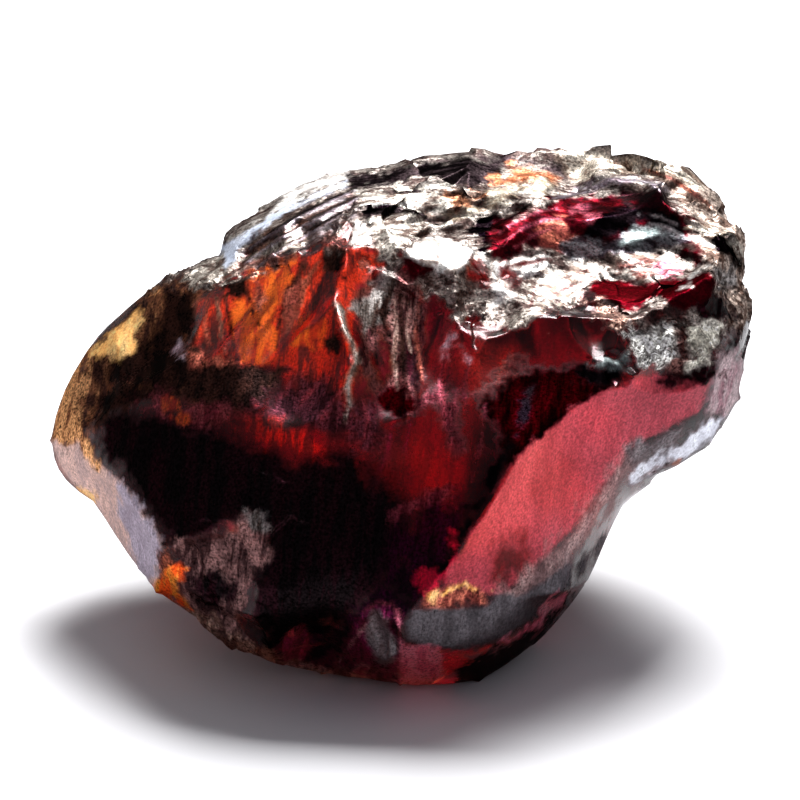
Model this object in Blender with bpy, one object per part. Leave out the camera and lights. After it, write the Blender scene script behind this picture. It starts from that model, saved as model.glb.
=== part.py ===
"""A rough garnet crystal: one broken piece of clear red garnet, about 20 mm long.

The stone is one solid. Its broad front leans back, so its points are given on that lean:
how far across, how far up, and how far out in front, in millimetres. An outline runs
round the stone where the front turns to the back. A front relief and a back relief are
strung inside it, and the arrises between the fracture faces stay sharp while the faces
between them are relaxed. The weathered top is then broken into small tilted facets,
shell-shaped chips are knocked out of the stone, and it is cut flat where it rests.
"""

import math

import bmesh
import bpy
import numpy
from mathutils import Matrix, Vector, noise
from mathutils.bvhtree import BVHTree
from mathutils.geometry import delaunay_2d_cdt

MM = 0.001  # metres
FRONT_LEAN = math.radians(25)  # the front leans back this far from upright
REST_HEIGHT = -6.25  # the flat that the stone rests on, in mm above the middle of the front
ROUNDING_LEVELS = 4  # how often the cage between the arrises is subdivided
RELAXING_PASSES = 40  # how far the faces between the arrises are flattened
FACET_SIZE = 1.5  # mm across a small facet of the weathered top
FACET_TILT = 0.6  # how steeply such a facet stands out of the surface
FACET_VARIETY = 7.3  # how little a facet's tilt has to do with its neighbour's
FACET_SEED = 3  # any whole number gives another set of tilts
LUMPS = 4.0  # how many lumps fit in the radius of a chip's ball
LUMP_DEPTH = 0.8  # how deep they are beside the depth of the chip
DEEPEST = 2.5  # times its depth, the most that a chip takes off a crest
CHIP_SPREAD = 1.7  # times its width on a flat face, the most that a chip spreads
CHIP_FADE = 1 / 3  # the share of that spread over which a chip runs out to nothing
FAR_OUT = 30.0  # mm, well outside the stone
SAME_POINT = 1e-6  # mm, points of the cage closer than this are one point
TINY_EDGE = 0.004  # mm, edges shorter than this are closed up after the cut
MOST_TRIANGLES = 9800
SHARP_FROM = math.radians(22)  # edges that turn more than this are shaded sharp
GARNET_RED = (0.23, 0.01, 0.015, 1.0)

# The outline, clockwise from the left tip. Each stretch has its name, its sharpness
# (0 round, 1 sharp), its weathering (1 on the rough top) and its points, and starts where
# the one before it ends. A point is (across, up, out) in mm.
OUTLINE = [
    ("left shoulder", 0.9, 0.1, [
        (-9.9, -0.6, -2.4), (-9.7, 0.6, -2.5), (-9.1, 1.8, -2.4), (-8.1, 3.0, -2.3),
    ]),
    ("left crest", 0.9, 0.0, [
        (-6.6, 4.1, -2.1), (-5.1, 4.7, -2.0), (-5.0, 5.3, -2.2), (-3.9, 6.1, -2.8),
    ]),
    ("top crest", 0.8, 0.2, [
        (-2.8, 6.8, -3.2), (-1.5, 7.2, -3.5), (-0.1, 7.3, -3.7), (1.1, 7.6, -3.9),
    ]),
    ("top hump", 0.4, 0.8, [
        (2.8, 7.7, -4.0), (4.5, 7.9, -4.1), (6.0, 7.9, -4.1), (7.4, 7.5, -3.8),
    ]),
    ("right shoulder", 0.3, 0.9, [
        (8.6, 6.9, -3.4), (9.5, 6.0, -2.8), (10.0, 4.9, -2.2), (10.1, 3.4, -1.8),
    ]),
    ("right edge", 0.5, 0.3, [
        (10.0, 2.0, -1.4), (9.7, 0.6, -1.2), (9.1, -0.5, -1.2), (8.2, -1.3, -1.2),
    ]),
    ("right undercut", 0.7, 0.0, [
        (7.1, -1.8, -1.0), (6.2, -2.4, -0.8), (5.8, -3.4, -0.6), (5.3, -4.5, -0.4),
    ]),
    ("belly", 0.7, 0.0, [
        (4.5, -5.6, -0.1), (3.5, -6.6, 0.2), (2.2, -7.3, 0.9), (0.8, -7.5, 1.3),
    ]),
    ("foot", 0.8, 0.0, [
        (0.0, -7.4, 1.4), (-0.8, -7.3, 1.2), (-2.2, -7.1, 0.8), (-3.1, -6.9, 1.2),
    ]),
    ("left belly", 0.8, 0.2, [
        (-3.9, -6.7, 1.4), (-4.9, -6.3, 1.6), (-5.7, -5.6, 1.4), (-6.8, -4.8, 1.2),
    ]),
    ("left undercut", 0.9, 0.1, [
        (-7.6, -4.0, -0.6), (-8.3, -2.9, -1.9), (-8.7, -2.3, -2.1), (-9.3, -2.0, -2.4),
        (-9.8, -1.4, -2.5),
    ]),
]

# Arrises inside the outline of the front, written like the stretches of the outline.
FRONT_ARRISES = [
    ("brow left", 1.0, 0.5, [
        (-6.6, 4.1, -2.1), (-5.7, 3.9, -0.6), (-5.1, 3.9, 0.2), (-4.4, 4.3, 0.4),
        (-3.5, 4.6, 0.8), (-2.4, 5.0, 1.1), (-1.6, 5.1, 1.4), (-0.8, 4.8, 1.9), (0.1, 4.4, 2.4),
    ]),
    ("brow notch", 0.9, 0.6, [
        (0.1, 4.4, 2.4), (0.9, 3.7, 2.6), (1.6, 3.0, 2.8), (2.3, 2.6, 3.1), (3.3, 2.7, 3.1),
        (3.9, 2.8, 3.0), (4.5, 3.2, 2.9), (5.0, 3.4, 2.8),
    ]),
    ("brow right", 0.9, 0.6, [
        (5.0, 3.4, 2.8), (5.8, 2.8, 3.0), (6.4, 2.0, 3.1), (6.9, 1.6, 3.0), (8.1, 1.3, 2.2),
        (8.8, 1.6, 1.4), (9.5, 2.4, 0.2), (10.1, 3.4, -1.8),
    ]),
    ("window lip", 1.0, 0.3, [
        (5.0, 3.4, 2.8), (5.3, 3.8, 2.8), (5.6, 4.0, 2.7), (6.2, 3.9, 2.7), (6.7, 3.6, 2.7),
        (7.1, 4.0, 2.6), (7.5, 4.7, 2.2), (8.1, 4.8, 1.9), (8.5, 4.5, 1.8), (8.6, 3.9, 1.8),
        (8.4, 3.1, 2.0),
    ]),
    ("keel", 0.6, 0.0, [
        (-9.9, -0.6, -2.4), (-9.1, -0.3, -0.8), (-8.3, -0.1, 0.5), (-6.7, 0.1, 2.2),
        (-5.0, 0.0, 3.4), (-3.1, -0.5, 4.3), (-1.4, -1.0, 4.6), (0.3, -1.5, 4.6),
    ]),
    ("flute wall", 0.8, 0.1, [
        (-0.8, 4.8, 1.9), (-1.1, 3.9, 2.5), (-1.6, 3.1, 3.1), (-1.5, 2.0, 3.7),
        (-1.2, 0.6, 4.2), (-1.4, -1.0, 4.6),
    ]),
    ("arris", 1.0, 0.0, [
        (6.9, 1.6, 3.0), (6.2, 1.1, 3.4), (5.2, 0.7, 3.9), (4.3, 0.3, 4.4), (3.6, -0.3, 4.9),
        (3.2, -1.0, 5.1), (2.8, -1.8, 5.2), (2.2, -2.8, 5.2), (1.6, -3.6, 5.0),
        (0.9, -4.5, 4.9), (0.3, -5.2, 4.8), (0.1, -6.0, 4.4), (0.0, -6.8, 3.4),
        (0.0, -7.4, 1.4),
    ]),
    ("bevel", 1.0, 0.0, [
        (-9.9, -0.6, -2.4), (-8.8, -1.2, -0.4), (-7.6, -2.0, 1.5), (-6.6, -3.6, 2.9),
        (-6.8, -4.8, 1.2),
    ]),
    ("crust edge", 0.9, 0.4, [
        (-6.6, -3.6, 2.9), (-5.6, -3.3, 3.8), (-4.6, -3.0, 4.2), (-4.2, -2.4, 4.3),
        (-3.6, -2.9, 4.6), (-4.0, -4.1, 4.4), (-4.2, -5.0, 4.2), (-3.8, -6.1, 3.5),
        (-3.1, -6.9, 1.2),
    ]),
    ("lens top", 0.8, 0.0, [
        (0.3, -5.2, 4.8), (2.0, -5.1, 4.1), (3.4, -4.9, 3.3), (4.5, -4.8, 2.1),
        (5.3, -4.5, -0.4),
    ]),
    ("lens foot", 0.8, 0.0, [
        (0.1, -6.0, 4.4), (1.1, -6.3, 3.9), (2.2, -6.3, 3.4), (3.2, -6.0, 2.6),
        (4.1, -5.3, 1.5), (5.3, -4.5, -0.4),
    ]),
    ("belly roll", 0.6, 0.0, [
        (9.7, 0.6, -1.2), (8.7, 0.4, 0.6), (7.1, -0.6, 1.3), (6.2, -1.2, 1.5), (5.6, -2.4, 1.4),
        (5.0, -3.6, 1.4), (4.5, -4.8, 2.1),
    ]),
    ("blade", 0.9, 0.0, [
        (-5.1, 4.7, -2.0), (-4.6, 4.8, -0.8), (-3.6, 5.4, -0.7), (-2.5, 6.0, -1.1),
        (-1.4, 6.4, -1.7),
    ]),
    ("ledge", 0.9, 0.8, [
        (-1.4, 6.4, -1.7), (0.0, 6.5, -1.8), (1.4, 6.7, -2.0), (3.1, 6.8, -2.2),
        (4.4, 6.7, -2.2),
    ]),
    ("plate", 0.9, 0.2, [
        (0.1, 4.4, 2.4), (0.8, 5.1, 1.0), (1.3, 5.0, 1.0), (2.0, 4.6, 1.4), (1.7, 4.1, 2.2),
        (0.8, 4.1, 2.5), (0.1, 4.4, 2.4),
    ]),
    ("basin rim", 0.8, 0.5, [
        (2.6, 4.8, 1.0), (3.1, 5.5, 0.2), (3.9, 5.9, 0.0), (4.6, 6.2, -0.2), (5.6, 6.5, -0.5),
        (6.4, 6.6, -0.7), (7.4, 6.4, -0.7), (8.0, 5.8, -0.5), (7.9, 5.3, -0.1), (7.0, 4.9, 0.6),
        (6.2, 4.6, 1.1), (5.2, 4.5, 1.4), (4.3, 4.6, 1.4), (3.2, 4.4, 1.5), (2.6, 4.8, 1.0),
    ]),
]

# Points inside the faces, which set how far each face swells or sinks.
FRONT_SWELLS = [
    (-8.2, 1.4, -0.5), (-6.4, 2.6, 0.8), (-4.3, 2.9, 2.0), (-2.9, 3.4, 2.2), (-4.6, 1.4, 3.0),
    (-2.9, 1.4, 3.4), (-6.2, -1.7, 3.2), (-4.2, -1.3, 4.0), (-2.0, -2.9, 4.8), (0.2, -3.2, 5.0),
    (-1.6, -5.0, 4.8), (-0.9, -6.3, 4.2), (-5.0, -4.7, 3.5), (-4.5, -5.8, 2.8),
    (-8.2, -2.0, -0.9), (-7.3, -3.4, 0.5), (0.0, 3.4, 1.7), (0.2, 2.0, 2.7), (0.2, 0.4, 3.8),
    (2.2, 1.5, 3.6), (4.5, 1.8, 3.5), (5.6, 2.1, 3.2), (2.0, -0.3, 4.6), (4.6, -1.4, 3.2),
    (6.0, 0.0, 2.6), (7.6, 0.6, 1.6), (4.0, -3.1, 3.2), (2.8, -4.1, 3.8), (2.3, -5.6, 3.9),
    (2.0, -6.8, 2.6), (8.4, -0.4, 0.0), (6.4, -1.9, 0.5), (-2.6, 6.4, -2.2),
]
TOP_SWELLS = [
    (-3.4, 5.2, 0.1), (-0.9, 5.9, 0.0), (0.6, 5.8, -0.4), (2.2, 6.1, -0.9), (-0.2, 5.2, 1.1),
    (0.5, 7.1, -3.0), (3.2, 7.3, -3.4), (6.0, 7.4, -3.0), (8.6, 6.0, -2.0),
    (9.3, 5.1, -1.2), (4.9, 5.5, -0.5), (6.8, 5.6, -0.6), (4.0, 3.7, 2.3), (2.6, 3.7, 2.2),
    (6.2, 3.2, 2.7), (7.6, 3.8, 2.2), (7.4, 2.4, 2.5), (8.6, 2.4, 1.8), (9.3, 3.6, 0.2),
]

# The back, which ends round the flat that the stone rests on.
BACK_ARRISES = [
    ("resting edge", 1.0, 0.0, [
        (-2.2, -7.1, 0.8), (-2.8, -6.2, -1.8), (-1.7, -5.0, -4.3), (0.0, -4.2, -6.1),
        (2.2, -4.3, -5.9), (3.4, -5.6, -3.1), (2.8, -6.9, -0.3), (2.2, -7.3, 0.9),
    ]),
    ("back spine", 0.9, 0.0, [
        (4.5, 7.9, -4.1), (3.2, 5.6, -6.6), (2.4, 2.4, -7.6), (1.4, -1.0, -7.6),
        (0.0, -4.2, -6.1),
    ]),
    ("back shoulder", 0.9, 0.0, [
        (-5.0, 5.3, -2.2), (-3.8, 3.6, -5.8), (-2.8, 1.0, -7.0), (-2.4, -2.0, -6.8),
        (-1.7, -5.0, -4.3),
    ]),
    ("back flank", 0.9, 0.0, [
        (10.1, 3.4, -1.8), (8.2, 2.6, -4.6), (6.4, 0.6, -5.6), (4.6, -2.4, -5.4),
        (3.4, -5.6, -3.1),
    ]),
]
BACK_SWELLS = [
    (-7.6, 0.2, -5.8), (-5.6, -2.2, -5.4), (-6.0, 2.2, -5.8), (-3.6, -4.4, -3.0),
    (-0.6, 4.4, -5.8), (-0.6, 1.0, -6.6), (-0.6, -2.2, -6.6), (5.6, 5.4, -5.8),
    (5.0, 2.4, -6.6), (3.6, -1.4, -6.5), (7.6, 5.2, -4.4), (7.4, -0.2, -3.2), (5.0, -3.4, -2.4),
    (1.2, 6.2, -5.2),
]

# Shell-shaped chips: name, across, up, radius of the shell, depth, and how much longer the
# chip is up the stone than across it. All but the last in mm.
FRONT_CHIPS = [
    ("basin", 5.4, 5.4, 7.0, 0.45, 1.0),
    ("basin end", 7.0, 5.6, 4.0, 0.35, 1.0),
    ("window", 6.0, 3.2, 3.2, 0.25, 1.2),
    ("window end", 7.8, 3.8, 2.6, 0.30, 1.3),
    ("shelf scallop", 4.4, 3.9, 3.0, 0.20, 1.0),
    ("shelf scallop left", 3.0, 3.7, 2.4, 0.25, 1.2),
    ("plate", 1.1, 4.6, 9.0, 0.12, 1.0),
    ("brow bite", -1.1, 5.2, 2.6, 0.22, 1.0),
    ("brow bite left", -2.6, 5.2, 2.2, 0.25, 1.0),
    ("brow bite far left", -4.1, 4.7, 2.2, 0.25, 1.0),
    ("blade arcs", -2.8, 5.3, 3.0, 0.12, 1.0),
    ("top step", -0.2, 5.8, 3.0, 0.18, 0.6),
    ("top step right", 1.6, 5.9, 3.4, 0.30, 0.6),
    ("rust hollow", 3.4, 7.0, 4.0, 0.30, 1.0),
    ("crumble top", 6.4, 7.3, 3.0, 0.25, 1.0),
    ("crumble right", 8.0, 6.3, 2.6, 0.30, 1.0),
    ("crumble end", 9.2, 5.4, 2.0, 0.25, 1.0),
    ("crumble low end", 9.4, 4.0, 1.6, 0.20, 1.0),
    ("hackle right", 8.3, 2.3, 1.8, 0.20, 1.0),
    ("hackle middle", 7.5, 2.1, 2.0, 0.25, 1.0),
    ("hackle left", 6.8, 2.3, 1.8, 0.25, 1.3),
    ("hackle nick", 6.3, 1.5, 1.4, 0.25, 1.0),
    ("broad window", 4.0, 1.5, 11.0, 0.30, 1.0),
    ("flute", -0.2, 2.2, 2.0, 0.25, 2.4),
    ("flute right", 0.9, 2.4, 2.2, 0.20, 2.2),
    ("orange flute", -2.7, 3.3, 2.0, 0.25, 2.6),
    ("orange flute left", -3.8, 3.0, 2.0, 0.22, 2.4),
    ("orange flute far left", -5.0, 2.7, 2.2, 0.22, 2.4),
    ("tip facet", -7.0, 2.4, 8.0, 0.30, 1.0),
    ("tip facet low", -8.6, 0.9, 5.0, 0.25, 1.0),
    ("shelf", -3.4, 1.1, 6.0, 0.25, 1.0),
    ("crust hollow", -4.7, -3.6, 2.4, 0.20, 1.0),
    ("crust hollow left", -5.8, -4.1, 2.2, 0.22, 1.4),
    ("crust hollow right", -4.6, -4.6, 2.0, 0.22, 1.4),
    ("crust foot", -5.1, -5.6, 1.8, 0.20, 1.0),
    ("crust foot right", -4.2, -5.9, 1.8, 0.20, 1.3),
    ("oval chip", -0.5, -6.1, 1.1, 0.22, 2.4),
    ("small oval chip", -2.9, -6.2, 1.0, 0.18, 1.8),
    ("foot chip", -1.8, -6.6, 1.6, 0.16, 1.0),
]
BACK_CHIPS = [
    ("back shell", -0.4, 1.2, 12.0, 0.60, 1.0),
    ("back shell right", 5.0, 1.8, 9.0, 0.50, 1.0),
    ("back shell left", -5.6, 0.4, 8.0, 0.50, 1.0),
    ("back top", 0.6, 5.2, 5.0, 0.40, 1.0),
    ("back top right", 6.6, 5.6, 5.0, 0.45, 1.0),
    ("back foot", 4.2, -2.8, 5.0, 0.40, 1.0),
    ("back foot left", -3.6, -3.8, 5.0, 0.40, 1.0),
    ("back nick", 2.6, 3.6, 2.4, 0.35, 1.0),
    ("back nick left", -3.2, 2.6, 2.4, 0.35, 1.0),
    ("back nick right", 7.8, 2.2, 2.4, 0.35, 1.0),
]


def on_lean(across, up, out):
    """A point given on the leaning front, in upright coordinates, still in mm."""
    return Matrix.Rotation(-FRONT_LEAN, 3, "X") @ Vector((across, -out, up))


def relief(ring, arrises, swells):
    """Strings triangles between a ring of points, its arrises and its swells.

    Gives the points (the ring's come first), the weathering of each, the triangles,
    and the sharpness of each arris edge.
    """
    points = list(ring)
    weathering = [0.0] * len(ring)
    number = {point: i for i, point in enumerate(points)}
    sharpness = {}
    for _, sharp, weathered, line in arrises:
        for point in line:
            if point not in number:
                number[point] = len(points)
                points.append(point)
                weathering.append(weathered)
        for start, end in zip(line, line[1:]):
            sharpness[number[start], number[end]] = sharp
    for swell, weathered in swells:
        points.append(swell)
        weathering.append(weathered)
    flat = [Vector(point[:2]) for point in points]
    outer_loop = list(range(len(ring)))[::-1]
    keep_inside = 1
    strung = delaunay_2d_cdt(flat, list(sharpness), [outer_loop], keep_inside, SAME_POINT)
    first_source = [sources[0] for sources in strung[3]]
    triangles = [[first_source[i] for i in face] for face in strung[2]]
    return points, weathering, triangles, sharpness


def cage():
    """The coarse closed stone, with a crease on each arris and the weathering of each point."""
    ring = [point for _, _, _, points in OUTLINE for point in points]
    ring_sharpness = [sharp for _, sharp, _, points in OUTLINE for _ in points]
    ring_weathering = [weathered for _, _, weathered, points in OUTLINE for _ in points]
    mesh = bmesh.new()
    crease = mesh.edges.layers.float.new("crease_edge")
    weathered = mesh.verts.layers.float.new("weathered")
    rim = [mesh.verts.new(on_lean(*point)) for point in ring]
    sharp_pairs = {}
    front_swells = [(point, 0.0) for point in FRONT_SWELLS]
    front_swells += [(point, 1.0) for point in TOP_SWELLS]
    back_swells = [(point, 0.0) for point in BACK_SWELLS]
    for arrises, swells in ((FRONT_ARRISES, front_swells), (BACK_ARRISES, back_swells)):
        points, weathering, triangles, sharpness = relief(ring, arrises, swells)
        verts = rim + [mesh.verts.new(on_lean(*point)) for point in points[len(ring):]]
        for vert, value in zip(verts, weathering):
            vert[weathered] = value
        for triangle in triangles:
            mesh.faces.new([verts[i] for i in triangle])
        for pair, sharp in sharpness.items():
            sharp_pairs[frozenset(verts[i] for i in pair)] = sharp
    for i, sharp in enumerate(ring_sharpness):
        rim[i][weathered] = ring_weathering[i]
        sharp_pairs[frozenset((rim[i], rim[(i + 1) % len(rim)]))] = sharp
    for edge in mesh.edges:
        edge[crease] = sharp_pairs.get(frozenset(edge.verts), 0.0)
    bmesh.ops.recalc_face_normals(mesh, faces=mesh.faces)
    return mesh


def evaluated(shape):
    """An object's mesh after its modifiers, which are then dropped."""
    bpy.context.view_layer.update()
    seen = shape.evaluated_get(bpy.context.evaluated_depsgraph_get())
    mesh = bmesh.new()
    mesh.from_mesh(seen.to_mesh())
    seen.to_mesh_clear()
    shape.modifiers.clear()
    return mesh


def put_back(mesh, shape):
    mesh.to_mesh(shape.data)
    mesh.free()


def round_the_cage(stone):
    """Subdivides the cage and relaxes its faces, while the arrises stay where they are."""
    rounding = stone.modifiers.new("rounding", "SUBSURF")
    rounding.levels = rounding.render_levels = ROUNDING_LEVELS
    mesh = evaluated(stone)
    crease = mesh.edges.layers.float["crease_edge"]
    on_arris = {vert for edge in mesh.edges if edge[crease] > 0.5 for vert in edge.verts}
    free = [vert for vert in mesh.verts if vert not in on_arris]
    for _ in range(RELAXING_PASSES):
        bmesh.ops.smooth_vert(
            mesh, verts=free, factor=0.5, use_axis_x=True, use_axis_y=True, use_axis_z=True)
    put_back(mesh, stone)


def break_the_top(stone):
    """Tilts small facets out of the surface, as far as it is weathered."""
    noise.seed_set(FACET_SEED)
    mesh = bmesh.new()
    mesh.from_mesh(stone.data)
    mesh.normal_update()
    weathered = mesh.verts.layers.float["weathered"]
    moved = []
    for vert in mesh.verts:
        spot = vert.co / FACET_SIZE
        middle = noise.voronoi(spot)[1][0]
        tilt = noise.noise_vector(middle * FACET_VARIETY)
        rise = FACET_TILT * FACET_SIZE * tilt.dot(spot - middle) * vert[weathered]
        moved.append(vert.co + vert.normal * rise)
    for vert, place in zip(mesh.verts, moved):
        vert.co = place
    put_back(mesh, stone)


def chip(places, surface, side, spot, radius, depth, stretch):
    """Presses one shell into the front (side 1) or the back (side -1), wherever it reaches in.

    The shell is an uneven ball over the spot. What is inside the ball goes down, against
    the surface's normal, to the ball's underside. The lumps of a long shell are streaks.
    """
    far_out = on_lean(*spot, side * FAR_OUT)
    inward = on_lean(*spot, 0.0) - far_out
    hit, normal, _, _ = surface.ray_cast(far_out, inward.normalized())
    sideways = normal.cross((0, 0, 1)).normalized()
    lengthways = normal.cross(sideways)
    away = places - numpy.array(hit + normal * (radius - depth))
    height = away @ numpy.array(normal)
    beside = away @ numpy.array(sideways)
    along = away @ numpy.array(lengthways) / stretch
    reach = numpy.hypot(beside, along)
    widest = CHIP_SPREAD * math.sqrt(2 * radius * depth)
    within = (reach < min(widest, radius)) & (abs(height) < radius + DEEPEST * depth)
    for i in numpy.nonzero(within)[0]:
        streak = Vector((beside[i], along[i] / stretch, 0)) * LUMPS / radius
        swell = noise.noise(streak + hit) * LUMP_DEPTH * depth
        underside = math.sqrt(max((radius + swell) ** 2 - reach[i] ** 2, 0))
        fall = min(max(height[i] + underside, 0), DEEPEST * depth)
        fading = min(1, (1 - reach[i] / widest) / CHIP_FADE)
        places[i] -= numpy.array(normal) * fall * fading


def knock_out_chips(stone):
    mesh = bmesh.new()
    mesh.from_mesh(stone.data)
    surface = BVHTree.FromBMesh(mesh)
    places = numpy.array([vert.co for vert in mesh.verts])
    for side, chips in ((1, FRONT_CHIPS), (-1, BACK_CHIPS)):
        for _, across, up, radius, depth, stretch in chips:
            chip(places, surface, side, (across, up), radius, depth, stretch)
    for vert, place in zip(mesh.verts, places):
        vert.co = place
    put_back(mesh, stone)


def thin_out(stone):
    """Fewer triangles on the smooth faces, while the edges keep theirs."""
    mesh = bmesh.new()
    mesh.from_mesh(stone.data)
    bmesh.ops.triangulate(mesh, faces=mesh.faces)
    count = len(mesh.faces)
    put_back(mesh, stone)
    thinning = stone.modifiers.new("thinning", "DECIMATE")
    thinning.ratio = MOST_TRIANGLES / count
    put_back(evaluated(stone), stone)


def cut_flat_to_rest(stone):
    mesh = bmesh.new()
    mesh.from_mesh(stone.data)
    everything = mesh.verts[:] + mesh.edges[:] + mesh.faces[:]
    floor = Vector((0.0, 0.0, REST_HEIGHT))
    cut = bmesh.ops.bisect_plane(
        mesh, geom=everything, plane_co=floor, plane_no=(0, 0, -1), clear_outer=True)
    rim = [edge for edge in cut["geom_cut"] if isinstance(edge, bmesh.types.BMEdge)]
    bmesh.ops.edgenet_fill(mesh, edges=rim)
    bmesh.ops.triangulate(mesh, faces=mesh.faces)
    bmesh.ops.remove_doubles(mesh, verts=mesh.verts, dist=TINY_EDGE)
    bmesh.ops.recalc_face_normals(mesh, faces=mesh.faces)
    put_back(mesh, stone)


def stand_on_origin(stone):
    """Brings the origin under the middle of the stone's box, and the stone to metres."""
    places = [vert.co for vert in stone.data.vertices]
    low = Vector([min(place[axis] for place in places) for axis in range(3)])
    high = Vector([max(place[axis] for place in places) for axis in range(3)])
    middle = (low + high) / 2
    shift = Vector((-middle.x, -middle.y, -low.z))
    stone.data.transform(Matrix.Scale(MM, 4) @ Matrix.Translation(shift))


def garnet():
    material = bpy.data.materials.new("garnet")
    material.use_nodes = True
    surface = material.node_tree.nodes["Principled BSDF"]
    surface.inputs["Base Color"].default_value = GARNET_RED
    surface.inputs["Roughness"].default_value = 0.08
    surface.inputs["Metallic"].default_value = 0.0
    surface.inputs["IOR"].default_value = 1.77
    return material


def main():
    for old in list(bpy.data.objects):
        bpy.data.objects.remove(old)
    stone = bpy.data.objects.new("garnet_crystal", bpy.data.meshes.new("garnet_crystal"))
    bpy.context.scene.collection.objects.link(stone)
    put_back(cage(), stone)
    round_the_cage(stone)
    break_the_top(stone)
    knock_out_chips(stone)
    thin_out(stone)
    cut_flat_to_rest(stone)
    stand_on_origin(stone)
    stone.data.materials.append(garnet())
    stone.data.shade_smooth()
    stone.data.set_sharp_from_angle(angle=SHARP_FROM)


if __name__ == "__main__":
    main()
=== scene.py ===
import math

import bmesh
import bpy
import numpy as np
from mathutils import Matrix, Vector, noise


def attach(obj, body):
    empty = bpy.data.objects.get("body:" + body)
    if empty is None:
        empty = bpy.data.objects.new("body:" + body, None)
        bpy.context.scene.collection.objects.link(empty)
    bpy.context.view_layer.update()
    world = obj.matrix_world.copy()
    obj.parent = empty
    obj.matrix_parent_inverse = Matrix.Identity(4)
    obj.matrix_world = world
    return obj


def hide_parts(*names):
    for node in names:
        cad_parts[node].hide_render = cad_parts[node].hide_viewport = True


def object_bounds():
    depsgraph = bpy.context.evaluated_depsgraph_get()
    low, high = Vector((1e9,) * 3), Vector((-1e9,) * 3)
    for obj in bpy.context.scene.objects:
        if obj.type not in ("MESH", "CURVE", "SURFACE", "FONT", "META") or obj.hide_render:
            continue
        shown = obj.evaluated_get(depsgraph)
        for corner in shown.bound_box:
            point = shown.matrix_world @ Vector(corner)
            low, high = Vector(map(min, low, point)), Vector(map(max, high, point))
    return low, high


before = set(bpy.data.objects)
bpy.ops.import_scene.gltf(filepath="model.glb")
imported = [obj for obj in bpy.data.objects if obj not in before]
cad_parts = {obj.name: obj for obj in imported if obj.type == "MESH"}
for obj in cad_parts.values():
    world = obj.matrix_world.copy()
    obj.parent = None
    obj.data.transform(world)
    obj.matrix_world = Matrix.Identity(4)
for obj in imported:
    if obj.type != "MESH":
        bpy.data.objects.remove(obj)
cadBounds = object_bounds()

mm = 0.001
frontLean = math.radians(25)  # the broad front leans back this far from upright
frontMiddle = Vector((-0.000001, -0.000768, 0.00625))  # in metres, where the front's own measures start

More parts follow.
